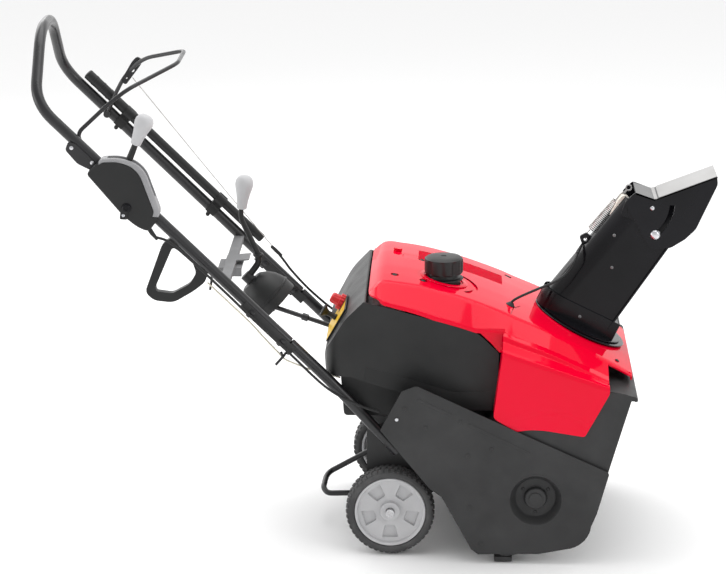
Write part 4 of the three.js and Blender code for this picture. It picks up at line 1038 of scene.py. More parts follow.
def hood_section(x):
    top, band = crease_z(x), band_z(x)
    outer = [(BODY_HALF + 0.4, band - 7), (BODY_HALF, band - 0.5), (CREASE_HALF + 1, top + 0.4),
             (110, top + 3), (55, top + 5.2), (0, top + 6)]
    inner = [(y - (WALL if k < 2 else 1), z - (0 if k == 0 else WALL))
             for k, (y, z) in enumerate(outer[:-1])]
    inner.append((0, top + 6 - WALL))
    ring = []
    for line in (outer, inner):
        half = [(x, p.x, p.y) for p in rounded_path([(y, z, 0) for y, z in line], 9, 5)]
        whole = half + [(x, -y, z) for _, y, z in half[-2::-1]]
        ring += whole if line is outer else whole[::-1]
    return ring


def post(outline, z0, z1):
    """An XY outline standing between two heights."""
    return skin([[(x, y, z) for x, y in outline] for z in (z0, z1)])


def plan(points, radius, steps=8):
    return [(p.x, p.y) for p in rounded_loop([(x, y, 0) for x, y in points], radius, steps)]


hood_top = skin([hood_section(x) for x, _ in crease_line])
hood_plan = plan([(-43, -200), (411.5, -200), (411.5, -163), (458, -163), (458, 163), (411.5, 163),
                  (411.5, 200), (-43, 200)],
                 [46, 4, 1.5, 10, 10, 1.5, 4, 46])
CAP = (98, -75)
hood_top = carve(hood_top, post(hood_plan, 250, 620), operation="INTERSECT")
cuts = [throat_rod(85, -60, 60), tube([(CAP[0], CAP[1], 400), (CAP[0], CAP[1], 600)], 33, 48, 0)]
hood_top = carve(hood_top, *cuts)
print("hood top faces:", len(hood_top.faces))

# %% Hood side panels
PANEL_OUT = 251
PANEL_OUTLINE = [(214, 472), (209, 404), (194, 288), (238, 262), (262, 266), (290, 265), (366, 253),
                 (411, 338), (411, 420), (300, 480)]
PANEL_FOOT = 252
ARCH = (218, 381, 276, 29)
ARCH_DEPTH = 2.4


def panel_top(x):
    return 425 - 0.34 * (x - 190)


def pressed_in(x, z):
    """Depth of the shallow arch pressed into the bottom of the panel."""
    start, end, foot, rise = ARCH
    if not start < x < end:
        return 0.0
    crown = foot + rise * math.sin(math.pi * (x - start) / (end - start)) ** 0.8
    inside = min(1.0, max(0.0, (crown - z) / 9))
    side_fade = min(1.0, (x - start) / 18, (end - x) / 18)
    foot_fade = max(0.12, min(1.0, (z - PANEL_FOOT) / (crown - PANEL_FOOT)))
    return ARCH_DEPTH * side_fade * inside * inside * (3 - 2 * inside) * foot_fade


def panel_section(x, side):
    band, top = band_z(x), panel_top(x)
    drop = max(0.0, band - 4 - top)
    line = [(194, band + 2.2), (214, band - 0.6), (218.5, band - 4 - 0.35 * drop), (240, top + 1.8),
            (249, top - 0.4), (PANEL_OUT, top - 7)]
    outer = [(p.x, p.y) for p in rounded_path([(y, z, 0) for y, z in line], 2.4, 4)]
    low = 238
    for k in range(1, 41):
        z = top - 7 + (low - top + 7) * k / 40
        outer.append((PANEL_OUT - pressed_in(x, z), z))
    inner = [(y - (WALL if z < top else 0.4), z - (0.3 if z < top else WALL)) for y, z in outer]
    return [(x, side * y, z) for y, z in outer + inner[::-1]]


# %% Joining the hood
REAR_CORNER = [(150, 448), (168, 439), (188, 420), (206, 400), (213, 404), (215, 448)]
hood = Piece()
hood.add(hood_top, RED)
panel_trim = [(p.x, p.z) for p in rounded_loop([(x, 0, z) for x, z in PANEL_OUTLINE],
                                               [1, 4, 8, 5, 12, 12, 6, 5, 1, 1], 6)]
for side in (-1, 1):
    sheet = skin([panel_section(190 + 5 * k, side) for k in range(47)])
    trimmed = carve(sheet, plate(panel_trim, side * 180, side * 300), operation="INTERSECT")
    hood.add(trimmed, RED)
    flange = [(212.5, 440), (208.6, 404), (194.6, 290), (197.6, 289), (211.6, 404), (215.5, 440)]
    hood.add(carve(plate(flange, side * 196, side * 249.5, 0.4),
                   plate([(180, panel_top(212) - 6), (240, panel_top(212) - 6), (240, 470), (180, 470)],
                         side * 190, side * 260)), RED)
    corner = rounded_loop([(x, 0, z) for x, z in REAR_CORNER], 3, 4)
    hood.add(plate([(p.x, p.z) for p in corner], side * 195.4, side * 197.4, 0.4), RED)
nose = [(445, 355.5), (455, 352), (458.5, 347), (457.5, 337), (454.5, 336), (453.5, 345), (445, 348)]
hood.add(plate([(p.x, p.z) for p in rounded_loop([(x, 0, z) for x, z in nose], 2.2, 4)], -CREASE_HALF,
               CREASE_HALF, 1.0), RED)


# %% [markdown]
# ## Small features of the hood
#
# The air outlet is a field of long slats over a dark opening. The opening is cut through the skin,
# and the slats are one bar repeated across it. Screws sit in round dimples, a shallow tray is
# pressed beside the outlet, and a curved step runs round the filler neck. Each of these is cut
# from the finished skin with a shaped tool, as a mould maker would.

# %% Points on the hood
def on_hood(x, y, lift=0.0):
    """A point on the hood's top and its normal."""
    here = Vector((x, y, hood_z(x, y)))
    along_x = Vector((2, 0, hood_z(x + 1, y) - hood_z(x - 1, y))).normalized()
    along_y = Vector((0, 2, hood_z(x, y + 1) - hood_z(x, y - 1))).normalized()
    normal = along_x.cross(along_y).normalized()
    return here + normal * lift, normal


def hugging_strip(points, width, low, high):
    """A closed ribbon that follows the hood between two lifts, for shallow pressings."""
    rings = []
    for k, (x, y) in enumerate(points):
        x0, y0 = points[max(0, k - 1)]
        x1, y1 = points[min(len(points) - 1, k + 1)]
        aside = Vector((y0 - y1, x1 - x0)).normalized() * width / 2
        rings.append([on_hood(x + s * aside.x, y + s * aside.y, lift)[0]
                      for s, lift in ((-1, low), (-1, high), (1, high), (1, low))])
    return skin(rings)


# %% Pressings in the hood
hood_finished = hood.mesh
OUTLET_X = (48, 212)
OUTLET_Y = (22, 96)
rows_x = [OUTLET_X[0] + (OUTLET_X[1] - OUTLET_X[0]) * k / 12 for k in range(13)]
outlet_corners = ((OUTLET_Y[0], -3.6), (OUTLET_Y[0], 5), (OUTLET_Y[1], 5), (OUTLET_Y[1], -3.6))
outlet = skin([[on_hood(x, y, lift)[0] for y, lift in outlet_corners] for x in rows_x])
dimples = []
HOOD_SCREWS = [(7, 64), (5, -110), (60, -118), (56, 20), (225, 118)]
for x, y in HOOD_SCREWS:
    foot, normal = on_hood(x, y)
    dimples.append(turned([(0, -1.6), (6.4, -1.6), (8.4, 0.6), (8.4, 6), (0, 6)], foot, normal, 28))
tray = [hugging_strip([(18, 44), (18, 8), (60, 6), (90, 6)], 1.1, -0.9, 3),
        hugging_strip([(18, 44), (46, 44)], 1.1, -0.9, 3), hugging_strip([(34, 22), (60, 21)], 1.4, -0.7, 3)]
step_line = [(CAP[0] + 62 * math.cos(math.radians(d)), CAP[1] + 62 * math.sin(math.radians(d)))
             for d in range(-48, 78, 6)]
corner_step = [hugging_strip(step_line, 8, -1.5, 3),
               hugging_strip([(226, -149), (232, -104), (246, -74)], 1.6, -1.0, 3)]
trimmed_top = carve(hood_finished, *dimples, *tray, *corner_step)
hood.mesh = carve(trimmed_top, outlet)
hood.done("hood_shell", "machine", "red_shell", ["hood"])

# %% Outlet slats and screws
pit = Piece()
PIT_MARGIN = 3
pit_low, pit_high = OUTLET_Y[0] - PIT_MARGIN, OUTLET_Y[1] + PIT_MARGIN
pit_corners = ((pit_low, -5.2), (pit_low, -3.4), (pit_high, -3.4), (pit_high, -5.2))
pit_rows = (OUTLET_X[0] - PIT_MARGIN, *rows_x[1:-1], OUTLET_X[1] + PIT_MARGIN)
pit.add(skin([[on_hood(x, y, lift)[0] for y, lift in pit_corners] for x in pit_rows]), MOULDED)
pit.done("outlet_screen", "machine", "black_plastic")
slats = Piece()
SLATS = 9
SLAT_SECTION = ((-1.9, -1.3), (-1.6, -0.4), (0, 0.1), (1.6, -0.4), (1.9, -1.3))
slat_rows = (OUTLET_X[0] - 0.5, *rows_x[1:-1], OUTLET_X[1] + 0.5)
for k in range(SLATS):
    y = OUTLET_Y[0] + (OUTLET_Y[1] - OUTLET_Y[0]) * (k + 0.5) / SLATS
    slats.add(skin([[on_hood(x, y + s, lift)[0] for s, lift in SLAT_SECTION] for x in slat_rows]), RED)
slats.done("outlet_slats", "machine", "red_shell")
screw_spots = [(on_hood(x, y, -1.7)[0], on_hood(x, y)[1]) for x, y in HOOD_SCREWS]
nose_normal = Vector((0.45, 0, 0.89))
screw_spots += [((430, s * 128, crease_z(430) + 2), nose_normal) for s in (-1, 1)]
fasten("hood_screws", "pan", screw_spots, "machine", POWDER)
print("hood:", made[-4:])

# %% [markdown]
# ## Engine covers
#
# The black rear cover is a deep moulding with big rounded corners seen from above. Two outlines
# describe it, one from the side and one from above, and the part they share is the cover. The same
# pair, a wall thickness smaller, hollows it. A soft flare along its lower edge catches the light.

# %% Rear and lower covers
REAR_SIDE = [(-51, 498), (-87, 461), (-128, 388), (-124, 347), (-76, 350), (12, 322), (120, 286),
             (200, 286), (204, 400), (165, 438), (81, 463), (-12, 488), (-38, 493)]
REAR_INSIDE = [(-42, 502), (-84, 459), (-124.6, 387), (-121, 330), (-75, 330), (13, 300), (121, 260),
               (230, 260), (230, 600), (-12, 600)]


def side_cut(points, radius, steps=6):
    return [(p.x, p.z) for p in rounded_loop([(x, 0, z) for x, z in points], radius, steps)]


def rear_plan(half, rear, radius):
    return plan([(rear, -half), (260, -half), (260, half), (rear, half)], [radius, 0, 0, radius], 16)


cover = carve(plate(side_cut(REAR_SIDE, [3, 16, 14, 5, 3, 3, 3, 3, 3, 14, 3, 3, 3]), -230, 230),
              post(rear_plan(BODY_HALF, -129, 74), 200, 600), operation="INTERSECT")
hollow = carve(plate(side_cut(REAR_INSIDE, [2, 16, 14, 2, 2, 2, 2, 2, 2, 2]), -230, 230),
               post(rear_plan(BODY_HALF - 3, -126, 71), 200, 600), operation="INTERSECT")
HANDLE_HALF = 181
HANDLE_SLOPE = -0.976
HANDLE_CORNER = (-661, 870)


def handle_z(x):
    return HANDLE_CORNER[1] + HANDLE_SLOPE * (x - HANDLE_CORNER[0])


tube_rooms = [tube([(-190, s * HANDLE_HALF, handle_z(-190)), (-76, s * HANDLE_HALF, 296)], 12.5, 24, 0)
              for s in (-1, 1)]
cover = carve(cover, hollow, *tube_rooms, tube([(-150, 0, 403.4), (-100, 0, 386.7)], 14, 24, 0))
covers = Piece()
covers.add(cover, MOULDED)
FLARE_STATIONS = 19
LOW_EDGE = [(-76, 350), (12, 322), (120, 286), (192, 286.5)]
for side in (-1, 1):
    rings = []
    for k in range(FLARE_STATIONS + 1):
        x = -48 + 240 * k / FLARE_STATIONS
        low = along(LOW_EDGE, x)
        rise = 30 + 8 * k / FLARE_STATIONS
        flare = ((196.5, low + rise), (198.2, low + rise), (201.6, low + 3), (201.2, low + 0.8),
                 (196.5, low + 0.6))
        rings.append([(x, side * y, z) for y, z in flare])
    covers.add(skin(rings), MOULDED)


# %% The sloping back
PANEL_TOP = (-84, 464)
PANEL_RUN, PANEL_FALL = 41, 73
OUT_X, OUT_Z = -0.872, 0.49
OUT = Vector((OUT_X, 0, OUT_Z))


def on_panel(d, out, y=0.0):
    """A point d millimetres down the sloping back and out from it."""
    length = math.hypot(PANEL_RUN, PANEL_FALL)
    return Vector((PANEL_TOP[0] - PANEL_RUN / length * d + out * OUT_X, y,
                   PANEL_TOP[1] - PANEL_FALL / length * d + out * OUT_Z))


def panel_slab(d0, d1, y0, y1, low, high, edge, radius=5):
    """A rounded slab lying on the sloping back."""
    loop = rounded_loop([(d0, y0, 0), (d1, y0, 0), (d1, y1, 0), (d0, y1, 0)], radius, 5)
    return soften(skin([[on_panel(p.x, out, p.y) for p in loop] for out in (low, high)]), edge, 2, 50)


for y in (-134, -142.5):
    covers.add(panel_slab(2, 76, y - 1.8, y + 1.8, -1.2, 1.6, 0.7, 1.5), MOULDED)
covers.done("rear_cover_shell", "machine", "black_plastic", ["rear_cover"])

# %% Lower cover, panel and label
LOWER_SIDE = [(-96, 342), (-78, 344), (8, 316), (116, 282), (116, 262), (-50, 262), (-90, 262)]
lower = Piece()
lower.add(carve(plate(side_cut(LOWER_SIDE, [6, 3, 2, 2, 4, 6, 8]), -161, 161, 1.5),
                plate([(-93, 350), (130, 350), (130, 250), (-87, 250)], -158, 158),
                tube([(75, 150, 275), (75, 170, 275)], 16, 24, 0)), MOULDED)
lower.done("lower_cover_shell", "machine", "black_plastic", ["lower_cover"])
panel = Piece()
panel.add(panel_slab(3, 78, -127, -13, 1.8, 4.6, 0.8, 7), MOULDED)
panel.add(panel_slab(6, 32, -62, -14, 4.4, 5.4, 0.4, 5), MOULDED)
panel.done("control_panel_face", "machine", "black_plastic", ["control_panel"])
label = Piece()
label.add(panel_slab(6, 75, -124, -15, 4.5, 5.1, 0.2, 3), LABEL)
label.done("panel_label", "machine", "black_plastic")
print("covers:", made[-4:])


# %% Key, choke and fuel cap
def fluted(profile, centre, axis, flutes, depth, low, high, segments=120):
    """A turned part whose wall between two heights is rippled for grip."""
    part = turned(profile, centre, axis, segments)
    axis = Vector(axis).normalized()
    middle = at(*centre)
    across = axis.orthogonal().normalized()
    third = axis.cross(across)
    for vert in part.verts:
        away = vert.co - middle
        height = away.dot(axis) / MM
        flat = away - axis * away.dot(axis)
        if low <= height <= high and flat.length > 1e-5:
            angle = math.atan2(flat.dot(third), flat.dot(across))
            vert.co -= flat.normalized() * depth * MM * (0.5 - 0.5 * math.cos(flutes * angle)) ** 2
    return part


key = Piece()
key.add(fluted([(0, 0), (15.6, 0), (16, 0.6), (16, 7), (15, 8.5), (0, 8.5)], on_panel(18, 5.5, -36),
               OUT, 14, 1.6, 0.5, 7.5), KEY_RED)
key.add(fluted([(0, 0), (11, 0), (10.6, 12), (9.6, 15.4), (8, 16.6), (0, 17)], on_panel(18, 13.5, -36),
               OUT, 10, 1.3, 0.5, 15), KEY_RED)
key.done("key_knob", "key", "red_shell", ["ignition_switch"])
choke = Piece()
choke.add(turned([(0, 0), (5.6, 0), (6.4, 2), (5.4, 6), (5.2, 17), (7, 22), (12.2, 27), (13, 28.6),
                  (12.6, 30.4), (9, 31), (0, 30.4)],
                 on_panel(40, 5.5, -74), OUT, 36), MOULDED)
choke.done("choke_pull_knob", "choke", "black_plastic", ["choke_knob"])

cap_foot = hood_z(*CAP)
cap = Piece()
cap.add(fluted([(29.6, 13), (35.4, 12.2), (37.2, 14), (37.4, 36), (36.2, 40.5), (32, 43.6), (20, 44.6),
                (6, 44.8), (5, 43.8), (0, 43.6)],
               (*CAP, cap_foot), (0, 0, 1), 9, 3.4, 13.5, 39, 144), MOULDED)
cap.add(turned([(29.6, 13), (29.6, 39), (0, 39)], (*CAP, cap_foot), (0, 0, 1), 48), MOULDED)
cap.done("fuel_cap_grip", "cap", "black_plastic", ["fuel_cap"])
neck = Piece()
neck.add(turned([(22, -20), (31.5, -20), (31.6, -1), (36.6, 0.2), (38, 1.2), (37.4, 3), (31.4, 3.8),
                 (29.4, 6), (28.4, 10), (28.2, 36), (22, 36)], (*CAP, cap_foot), (0, 0, 1), 48,
                 closed=True), MOULDED)
neck.add(turned([(38.6, -0.4), (46, -1.2), (47.2, -0.2), (45.6, 1.0), (39, 1.8)], (*CAP, cap_foot - 0.5),
                (0.245, 0, 0.97), 48, closed=True), RED)
neck.done("filler_neck", "machine", "black_plastic")
print("controls:", made[-4:])

# %% [markdown]
# ## The chute
#
# Snow leaves through a U-shaped channel that turns on a ring. Its walls lean back as they rise, so
# it is drawn through cross sections along its own axis, each a little further from the front. A
# flanged band at the foot clamps it to the ring. The glossy black plastic shows every edge as a
# bright line, which is why the front edges carry a small outward lip.

# %% Ring and foot
CHUTE_U = Vector((math.cos(TILT), 0, -math.sin(TILT)))
CHUTE_FOOT = Vector((CHUTE[0], 0, CHUTE[1]))


def in_chute(u, v, n):
    """A point u forward, v to the left and n up the chute's axis from its foot."""
    return CHUTE_FOOT + CHUTE_U * u + Vector((0, v, 0)) + CHUTE_N * n


ring = Piece()
ring_profile = [(76.3, -100), (79, -100), (79, 5), (82, 6.6), (92, 7.6), (95, 8.6), (95.4, 10.2),
                (94.6, 11.2), (90, 11.5), (80, 11.5), (76.3, 9)]
ring_trim = plate([(200, 200), (500, 200), (500, 335.7), (445, 338.5), (240, 355.6), (200, 358)], -200, 200)
ring.add(carve(turned(ring_profile, CHUTE_FOOT, CHUTE_N, 96, closed=True), ring_trim), PIANO)
ring.done("chute_ring_collar", "machine", "gloss_black", ["chute_ring"])

# %% The channel's section
CHUTE_HALF = 43
CHUTE_WALL = 3


def rear_u(n):
    """Where the channel's back lies at height n."""
    return -98 + 0.213 * n


def front_u(n):
    """Where the channel's front edges lie at height n."""
    return 46 + 0.139 * n


def channel_section(n, lip=4.5):
    """A U with a rounded back and a lip turned outwards along each front edge."""
    half, back, front = CHUTE_HALF, rear_u(n), front_u(n)
    bend = arc(back + half, 0, half, 90, 270, 28)
    inner_half = half - CHUTE_WALL
    inside = arc(back + half, 0, inner_half, 270, 90, 28)
    outline = [(front, half + lip), (front - 3, half + lip), (front - 4, half), *bend, (front - 4, -half),
               (front - 3, -half - lip), (front, -half - lip), (front, -inner_half), *inside,
               (front, inner_half)]
    return [in_chute(u, v, n) for u, v in outline]


def foot_outline(half, front, grow=0.0):
    """The U of the foot band, seen along the chute's axis."""
    back = -96 + half
    bend = arc(back, 0, half + grow, 90, 270, 24)
    return [(front + grow, half + grow), *bend, (front + grow, -half - grow)]


def foot_post(half, front, n0, n1, grow=0.0):
    """A solid U between two heights, used for the band and to hollow it."""
    return skin([[in_chute(u, v, n) for u, v in foot_outline(half, front, grow)] for n in (n0, n1)])


# %% Channel, foot band and fittings
CHUTE_LOW = 32
CHUTE_RUN = 268
CHUTE_STATIONS = 24
TOP_TRIM = [(441, 669), (516, 572), (640, 640), (560, 800), (400, 760)]
channel = skin([channel_section(CHUTE_LOW + CHUTE_RUN * k / CHUTE_STATIONS)
                for k in range(CHUTE_STATIONS + 1)])
channel = carve(channel, plate(TOP_TRIM, -100, 100))
chute = Piece()
chute.add(channel, PIANO)
FOOT_HALF = CHUTE_HALF + 3
band = soften(foot_post(FOOT_HALF, 66, 12, 50), 1.2, 2, 50)
chute.add(carve(band, foot_post(FOOT_HALF - 3, 63, 5, 60)), PIANO)
shelf = soften(foot_post(FOOT_HALF - 0.5, 65, 42, 49), 0.8, 2, 50)
chute.add(carve(shelf, foot_post(CHUTE_HALF - 2.4, 50, 30, 60)), PIANO)
foot_disc = turned([(30, 12), (84, 12), (86, 12.6), (86, 14.2), (84, 15), (30, 15)], CHUTE_FOOT, CHUTE_N,
                   72, closed=True)
chute.add(carve(foot_disc, foot_post(FOOT_HALF - 3, 63, 5, 20)), PIANO)
for v in (-1, 1):
    ear = side_cut([(435, 631), (467, 621), (467, 666), (446, 666)], 6)
    chute.add(plate(ear, v * 40.4, v * (CHUTE_HALF + 0.6), 0.7), PIANO)
    bracket = side_cut([(449, 652), (500, 640), (508, 600), (503, 584), (482, 590), (462, 618),
                        (447, 634)], 6)
    chute.add(plate(bracket, v * (CHUTE_HALF + 0.1), v * (CHUTE_HALF + 2.0), 0.5), PIANO)
tab = side_cut([(366, 560), (384, 556), (391, 572), (373, 587), (359, 579)], 5)
chute.add(plate(tab, -3, 3, 0.8, [circle(371, 573, 3.4, 20)]), PIANO)
strip = side_cut([(392, 580), (400, 574), (448, 640), (455, 652), (449, 662), (440, 664), (432, 655)],
                 [3, 3, 4, 6, 8, 8, 4], 8)
chute.add(plate(strip, -13, 5, 2.2), CREAM)
chute.add(turned([(4.4, -1.6), (6.4, -1.6), (6.4, 1.6), (4.4, 1.6)], (452, 0, 676), (0, 1, 0), 28,
                 closed=True), PALE)
chute.add(tube([(448, 0, 671), (441, 0, 662)], 1.8, 12), PALE)
chute.done("chute_channel", "chute", "gloss_black", ["chute"])

# %% Chute screws
lock_spots = [((502, s * 48.4, 594.6), (0, s, 0)) for s in (-1, 1)]
fasten("lock_bolts", "rivet", lock_spots, "chute", ZINC, 2.35)
hinge_spots = [((495, s * 48.2, 647), (0, s, 0)) for s in (-1, 1)]
fasten("hinge_bolts", "rivet", hinge_spots, "deflector", ZINC, 1.05)
wall_screws = [((x, s * (CHUTE_HALF + 0.1), z), (0, s, 0)) for s in (-1, 1)
               for x, z in ((421, 528), (424, 592))]
foot_screws = [(in_chute(-12, s * (FOOT_HALF + 0.1), 30), (0, s, 0)) for s in (-1, 1)]
fasten("chute_screws", "pan", wall_screws + foot_screws, "chute", BRACKET, 0.7)
print("chute:", made[-5:])

# %% Deflector
PIVOT = (455, 657)
SLOT_R = 78
DEFLECTOR_HALF = 48
DEFLECTOR_WALL = 2.6
DEFLECTOR_SIDE = [(442, 658), (462, 678), (500, 664), (616, 710), (618, 694), (579, 606), (559, 586),
                  (532, 569), (494, 566), (476, 596), (452, 640)]
slot_hole = [*arc(*PIVOT, SLOT_R + 5, -58, -3, 14), *arc(*PIVOT, SLOT_R - 5, -3, -58, 14)]
deflector = Piece()
for s in (-1, 1):
    cheek = plate(side_cut(DEFLECTOR_SIDE, 5), s * (DEFLECTOR_HALF - DEFLECTOR_WALL), s * DEFLECTOR_HALF,
                  0.6, [slot_hole])
    deflector.add(cheek, PIANO)
SPANS = [
    ([(502, 662), (616.5, 706.5), (616.8, 709.4), (502, 665.2)], 0, 0.5, PIANO),
    ([(507, 667.4), (616.4, 709.6), (616, 710.6), (506.6, 668.6)], 0.6, 0.3, PALE),
    ([(497, 661.6), (504.4, 664.6), (504, 667.4), (496.6, 664.4)], 0, 0.4, PALE),
    ([(462, 673), (500, 660.5), (501, 664), (463, 677)], 0, 0.6, PIANO),
]
for outline, inset, edge, finish in SPANS:
    deflector.add(plate(outline, inset - DEFLECTOR_HALF, DEFLECTOR_HALF - inset, edge), finish)
front_bead = tube([(615.2, -DEFLECTOR_HALF + 0.5, 707.4), (615.2, DEFLECTOR_HALF - 0.5, 707.4)], 2.0, 12)
deflector.add(front_bead, PIANO)
deflector.done("deflector_hood", "deflector", "gloss_black", ["deflector"])
print("deflector:", made[-1])

# %% [markdown]
# ## Coil springs and rings
#
# A spring is a circle swept round a screw line, which is a rule, so a second Geometry Nodes tree
# makes it from four numbers: length, radius, wire and turns. It stands at the origin and is
# then placed by its two ends.

# %% The spring tree
def spring_tree():
    """Length, radius, wire and turns in; one coil standing at the origin out."""
    tree = bpy.data.node_groups.new("coil spring", "GeometryNodeTree")
    face = tree.interface
    for name in ("Length", "Radius", "Wire", "Turns"):
        face.new_socket(name, in_out="INPUT", socket_type="NodeSocketFloat")
    face.new_socket("Finish", in_out="INPUT", socket_type="NodeSocketMaterial")
    face.new_socket("Spring", in_out="OUTPUT", socket_type="NodeSocketGeometry")
    new, link = tree.nodes.new, tree.links.new
    given, out = new("NodeGroupInput"), new("NodeGroupOutput")
    line, wire = new("GeometryNodeCurveSpiral"), new("GeometryNodeCurvePrimitiveCircle")
    solid = new("GeometryNodeCurveToMesh")
    line.inputs["Resolution"].default_value = 16
    wire.inputs["Resolution"].default_value = 8
    real, paint = new("GeometryNodeRealizeInstances"), new("GeometryNodeSetMaterial")
    solid.inputs["Fill Caps"].default_value = True
    link(given.outputs["Turns"], line.inputs["Rotations"])
    link(given.outputs["Radius"], line.inputs["Start Radius"])
    link(given.outputs["Radius"], line.inputs["End Radius"])
    link(given.outputs["Length"], line.inputs["Height"])
    link(given.outputs["Wire"], wire.inputs["Radius"])
    link(line.outputs["Curve"], solid.inputs["Curve"])
    link(wire.outputs["Curve"], solid.inputs["Profile Curve"])
    link(solid.outputs["Mesh"], real.inputs["Geometry"])
    link(real.outputs["Geometry"], paint.inputs["Geometry"])
    link(given.outputs["Finish"], paint.inputs["Material"])
    link(paint.outputs["Geometry"], out.inputs["Spring"])
    return tree


# %% The deflector's spring
SPRINGS = spring_tree()


def spring(start, end, radius, wire, turns):
    """Loose mesh of a coil between two points, all in drawing millimetres."""
    start, end = Vector(start), Vector(end)
    work = bpy.data.objects.new("coil", bpy.data.meshes.new("coil"))
    scene.collection.objects.link(work)
    step = work.modifiers.new("coil", "NODES")
    step.node_group = SPRINGS
    set_inputs(step, Length=(end - start).length * MM, Radius=radius * MM, Wire=wire * MM,
               Turns=float(turns), Finish=SPRING_STEEL)
    mesh = baked(work)
    part = bmesh.new()
    part.from_mesh(mesh)
    way = (end - start).to_track_quat("Z", "Y").to_matrix().to_4x4()
    bmesh.ops.transform(part, verts=part.verts, matrix=Matrix.Translation(at(*start)) @ way)
    bmesh.ops.recalc_face_normals(part, faces=part.faces)
    return part


coil = Piece()
coil.add(spring((380, 0, 593), (427, 0, 650), 5.6, 1.15, 21), SPRING_STEEL)
coil.add(tube(rounded_path([(371, 0, 573), (371, 0, 583), (380, 0, 592)], 4), 1.2, 10), SPRING_STEEL)
coil.add(tube(rounded_path([(426, 0, 649), (437, 0, 664), (444, 0, 668)], 4), 1.2, 10), SPRING_STEEL)
coil_piece = coil.done("deflector_coil_spring", None, "steel", ["deflector_spring"])
tuple(at(384, 0, 598))
tuple(at(440, 0, 665))
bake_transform(coil_piece)
print("spring:", made[-1])

# %% [markdown]
# ## The tube handle
#
# Two steel tubes run up from the frame and join in a rounded grip. A tube is a circle swept along a
# bent route, so the route is written once, with the bend radius of the tube bender, and the sweep
# keeps the circle from twisting. The halves meet in folded brackets with two screws each.

# %% Tubes and joints
TUBE_R = 10.5
SPLICE_TOP, SPLICE_LOW = -262, -195
GRIP_X, GRIP_Z, GRIP_HALF = -664, 989, 66
for s, hand in SIDES:
    lower_route = rounded_path([(SPLICE_LOW + 4, s * HANDLE_HALF, handle_z(SPLICE_LOW + 4)),
                                (-96, s * HANDLE_HALF, 318), (14, s * HANDLE_HALF, 196)], 60, 8)
    lower_tube = Piece()
    lower_tube.add(tube(lower_route, TUBE_R, 28, 0.1), TUBE_PAINT)
    lower_tube.done("handle_tube_%s_bent" % hand, "machine", "black_paint", ["handle_tube_" + hand])
start_x = SPLICE_LOW + 3
upper_route = rounded_path([
    (start_x, -HANDLE_HALF, handle_z(start_x)), (HANDLE_CORNER[0], -HANDLE_HALF, HANDLE_CORNER[1]),
    (GRIP_X, -GRIP_HALF, GRIP_Z), (GRIP_X, GRIP_HALF, GRIP_Z),
    (HANDLE_CORNER[0], HANDLE_HALF, HANDLE_CORNER[1]), (start_x, HANDLE_HALF, handle_z(start_x))], 46, 10)
upper_tube = Piece()
upper_tube.add(tube(upper_route, TUBE_R, 28, 0.1), TUBE_PAINT)
upper_tube.done("upper_handle_loop", "machine", "black_paint", ["upper_handle"])

DOWN = Vector((0.7157, 0, -0.6984))
UNDER = Vector((-0.6984, 0, -0.7157))
JOINT_SECTION = [(-3, 14.2), (13, 14.2), (15, 11.5), (15, -11.5), (13, -14.2), (-3, -14.2), (-3, -11.4),
                 (11.6, -11.4), (11.6, 11.4), (-3, 11.4)]


def on_handle(x, y, under=0.0, down=0.0):
    """A point beside the tube's middle line at x, moved under it and down along it."""
    return Vector((x, y, handle_z(x))) + UNDER * under + DOWN * down


for s, hand in SIDES:
    x0, x1 = SPLICE_TOP - 12, SPLICE_LOW + 14
    bracket = Piece()
    outer_wall = [(p.x, p.y) for p in rounded_loop([(a, b, 0) for a, b in JOINT_SECTION], 1.2, 2)]
    bracket.add(skin([[on_handle(x, s * HANDLE_HALF, under) + Vector((0, side, 0))
                       for under, side in outer_wall] for x in (x0, x1)]), POWDER)
    bracket.done("handle_joint_%s_bracket" % hand, "machine", "black_paint", ["handle_joint_" + hand])
    spots = []
    for x in (SPLICE_TOP + 4, SPLICE_LOW - 6):
        spots += [(on_handle(x, s * HANDLE_HALF, 4) + Vector((0, out * 14.2, 0)), (0, out, 0))
                  for out in (-1, 1)]
        spots.append((on_handle(x, s * HANDLE_HALF, 15), UNDER))
    fasten("joint_screws_" + hand, "flange", spots, "machine", TUBE_PAINT, 1.15)
print("handle:", made[-7:])

# %% Clutch bail
BAIL_R = 4
BAIL_PIVOT = (-573, 779)
bail_inner = HANDLE_HALF - TUBE_R - BAIL_R - 0.4
bail_route = rounded_path([
    (BAIL_PIVOT[0], -bail_inner, BAIL_PIVOT[1]), (-588, -bail_inner + 2, 808), (-526, -150, 865),
    (-493, -140, 889), (-407, -67, 925), (-407, 67, 925), (-486, 115, 902), (-510, 132, 885),
    (-536, 150, 856), (-557, 162, 817), (BAIL_PIVOT[0], bail_inner, BAIL_PIVOT[1])], 18, 7)
bail = Piece()
bail.add(tube(bail_route, BAIL_R, 16), TUBE_PAINT)
for s in (-1, 1):
    bail.add(turned([(0, 0), (6.2, 0), (7, 0.8), (7, 11.4), (0, 11.4)],
                    (BAIL_PIVOT[0], s * 158.6, BAIL_PIVOT[1]), (0, s, 0), 28), TUBE_PAINT)
ear = side_cut([(-541, 851), (-531, 843), (-500, 884), (-498, 894), (-508, 900), (-518, 890)], 5)
bail.add(plate(ear, 136.5, 142, 0.8, [circle(-518, 873, 4.6, 24), circle(-530, 857, 2.4, 16)]), TUBE_PAINT)
bail.done("clutch_bail_loop", "bail", "black_paint", ["clutch_bail"])
grip_stop = Piece()
stop_side = side_cut([(-600, 800), (-586, 796), (-560, 771), (-546, 752), (-556, 744), (-584, 758),
                      (-606, 784)], 5)
grip_stop.add(plate(stop_side, -HANDLE_HALF - TUBE_R - 2.6, -HANDLE_HALF - TUBE_R + 0.4, 0.7), TUBE_PAINT)
grip_stop.done("handle_bracket_upper", "machine", "black_paint")
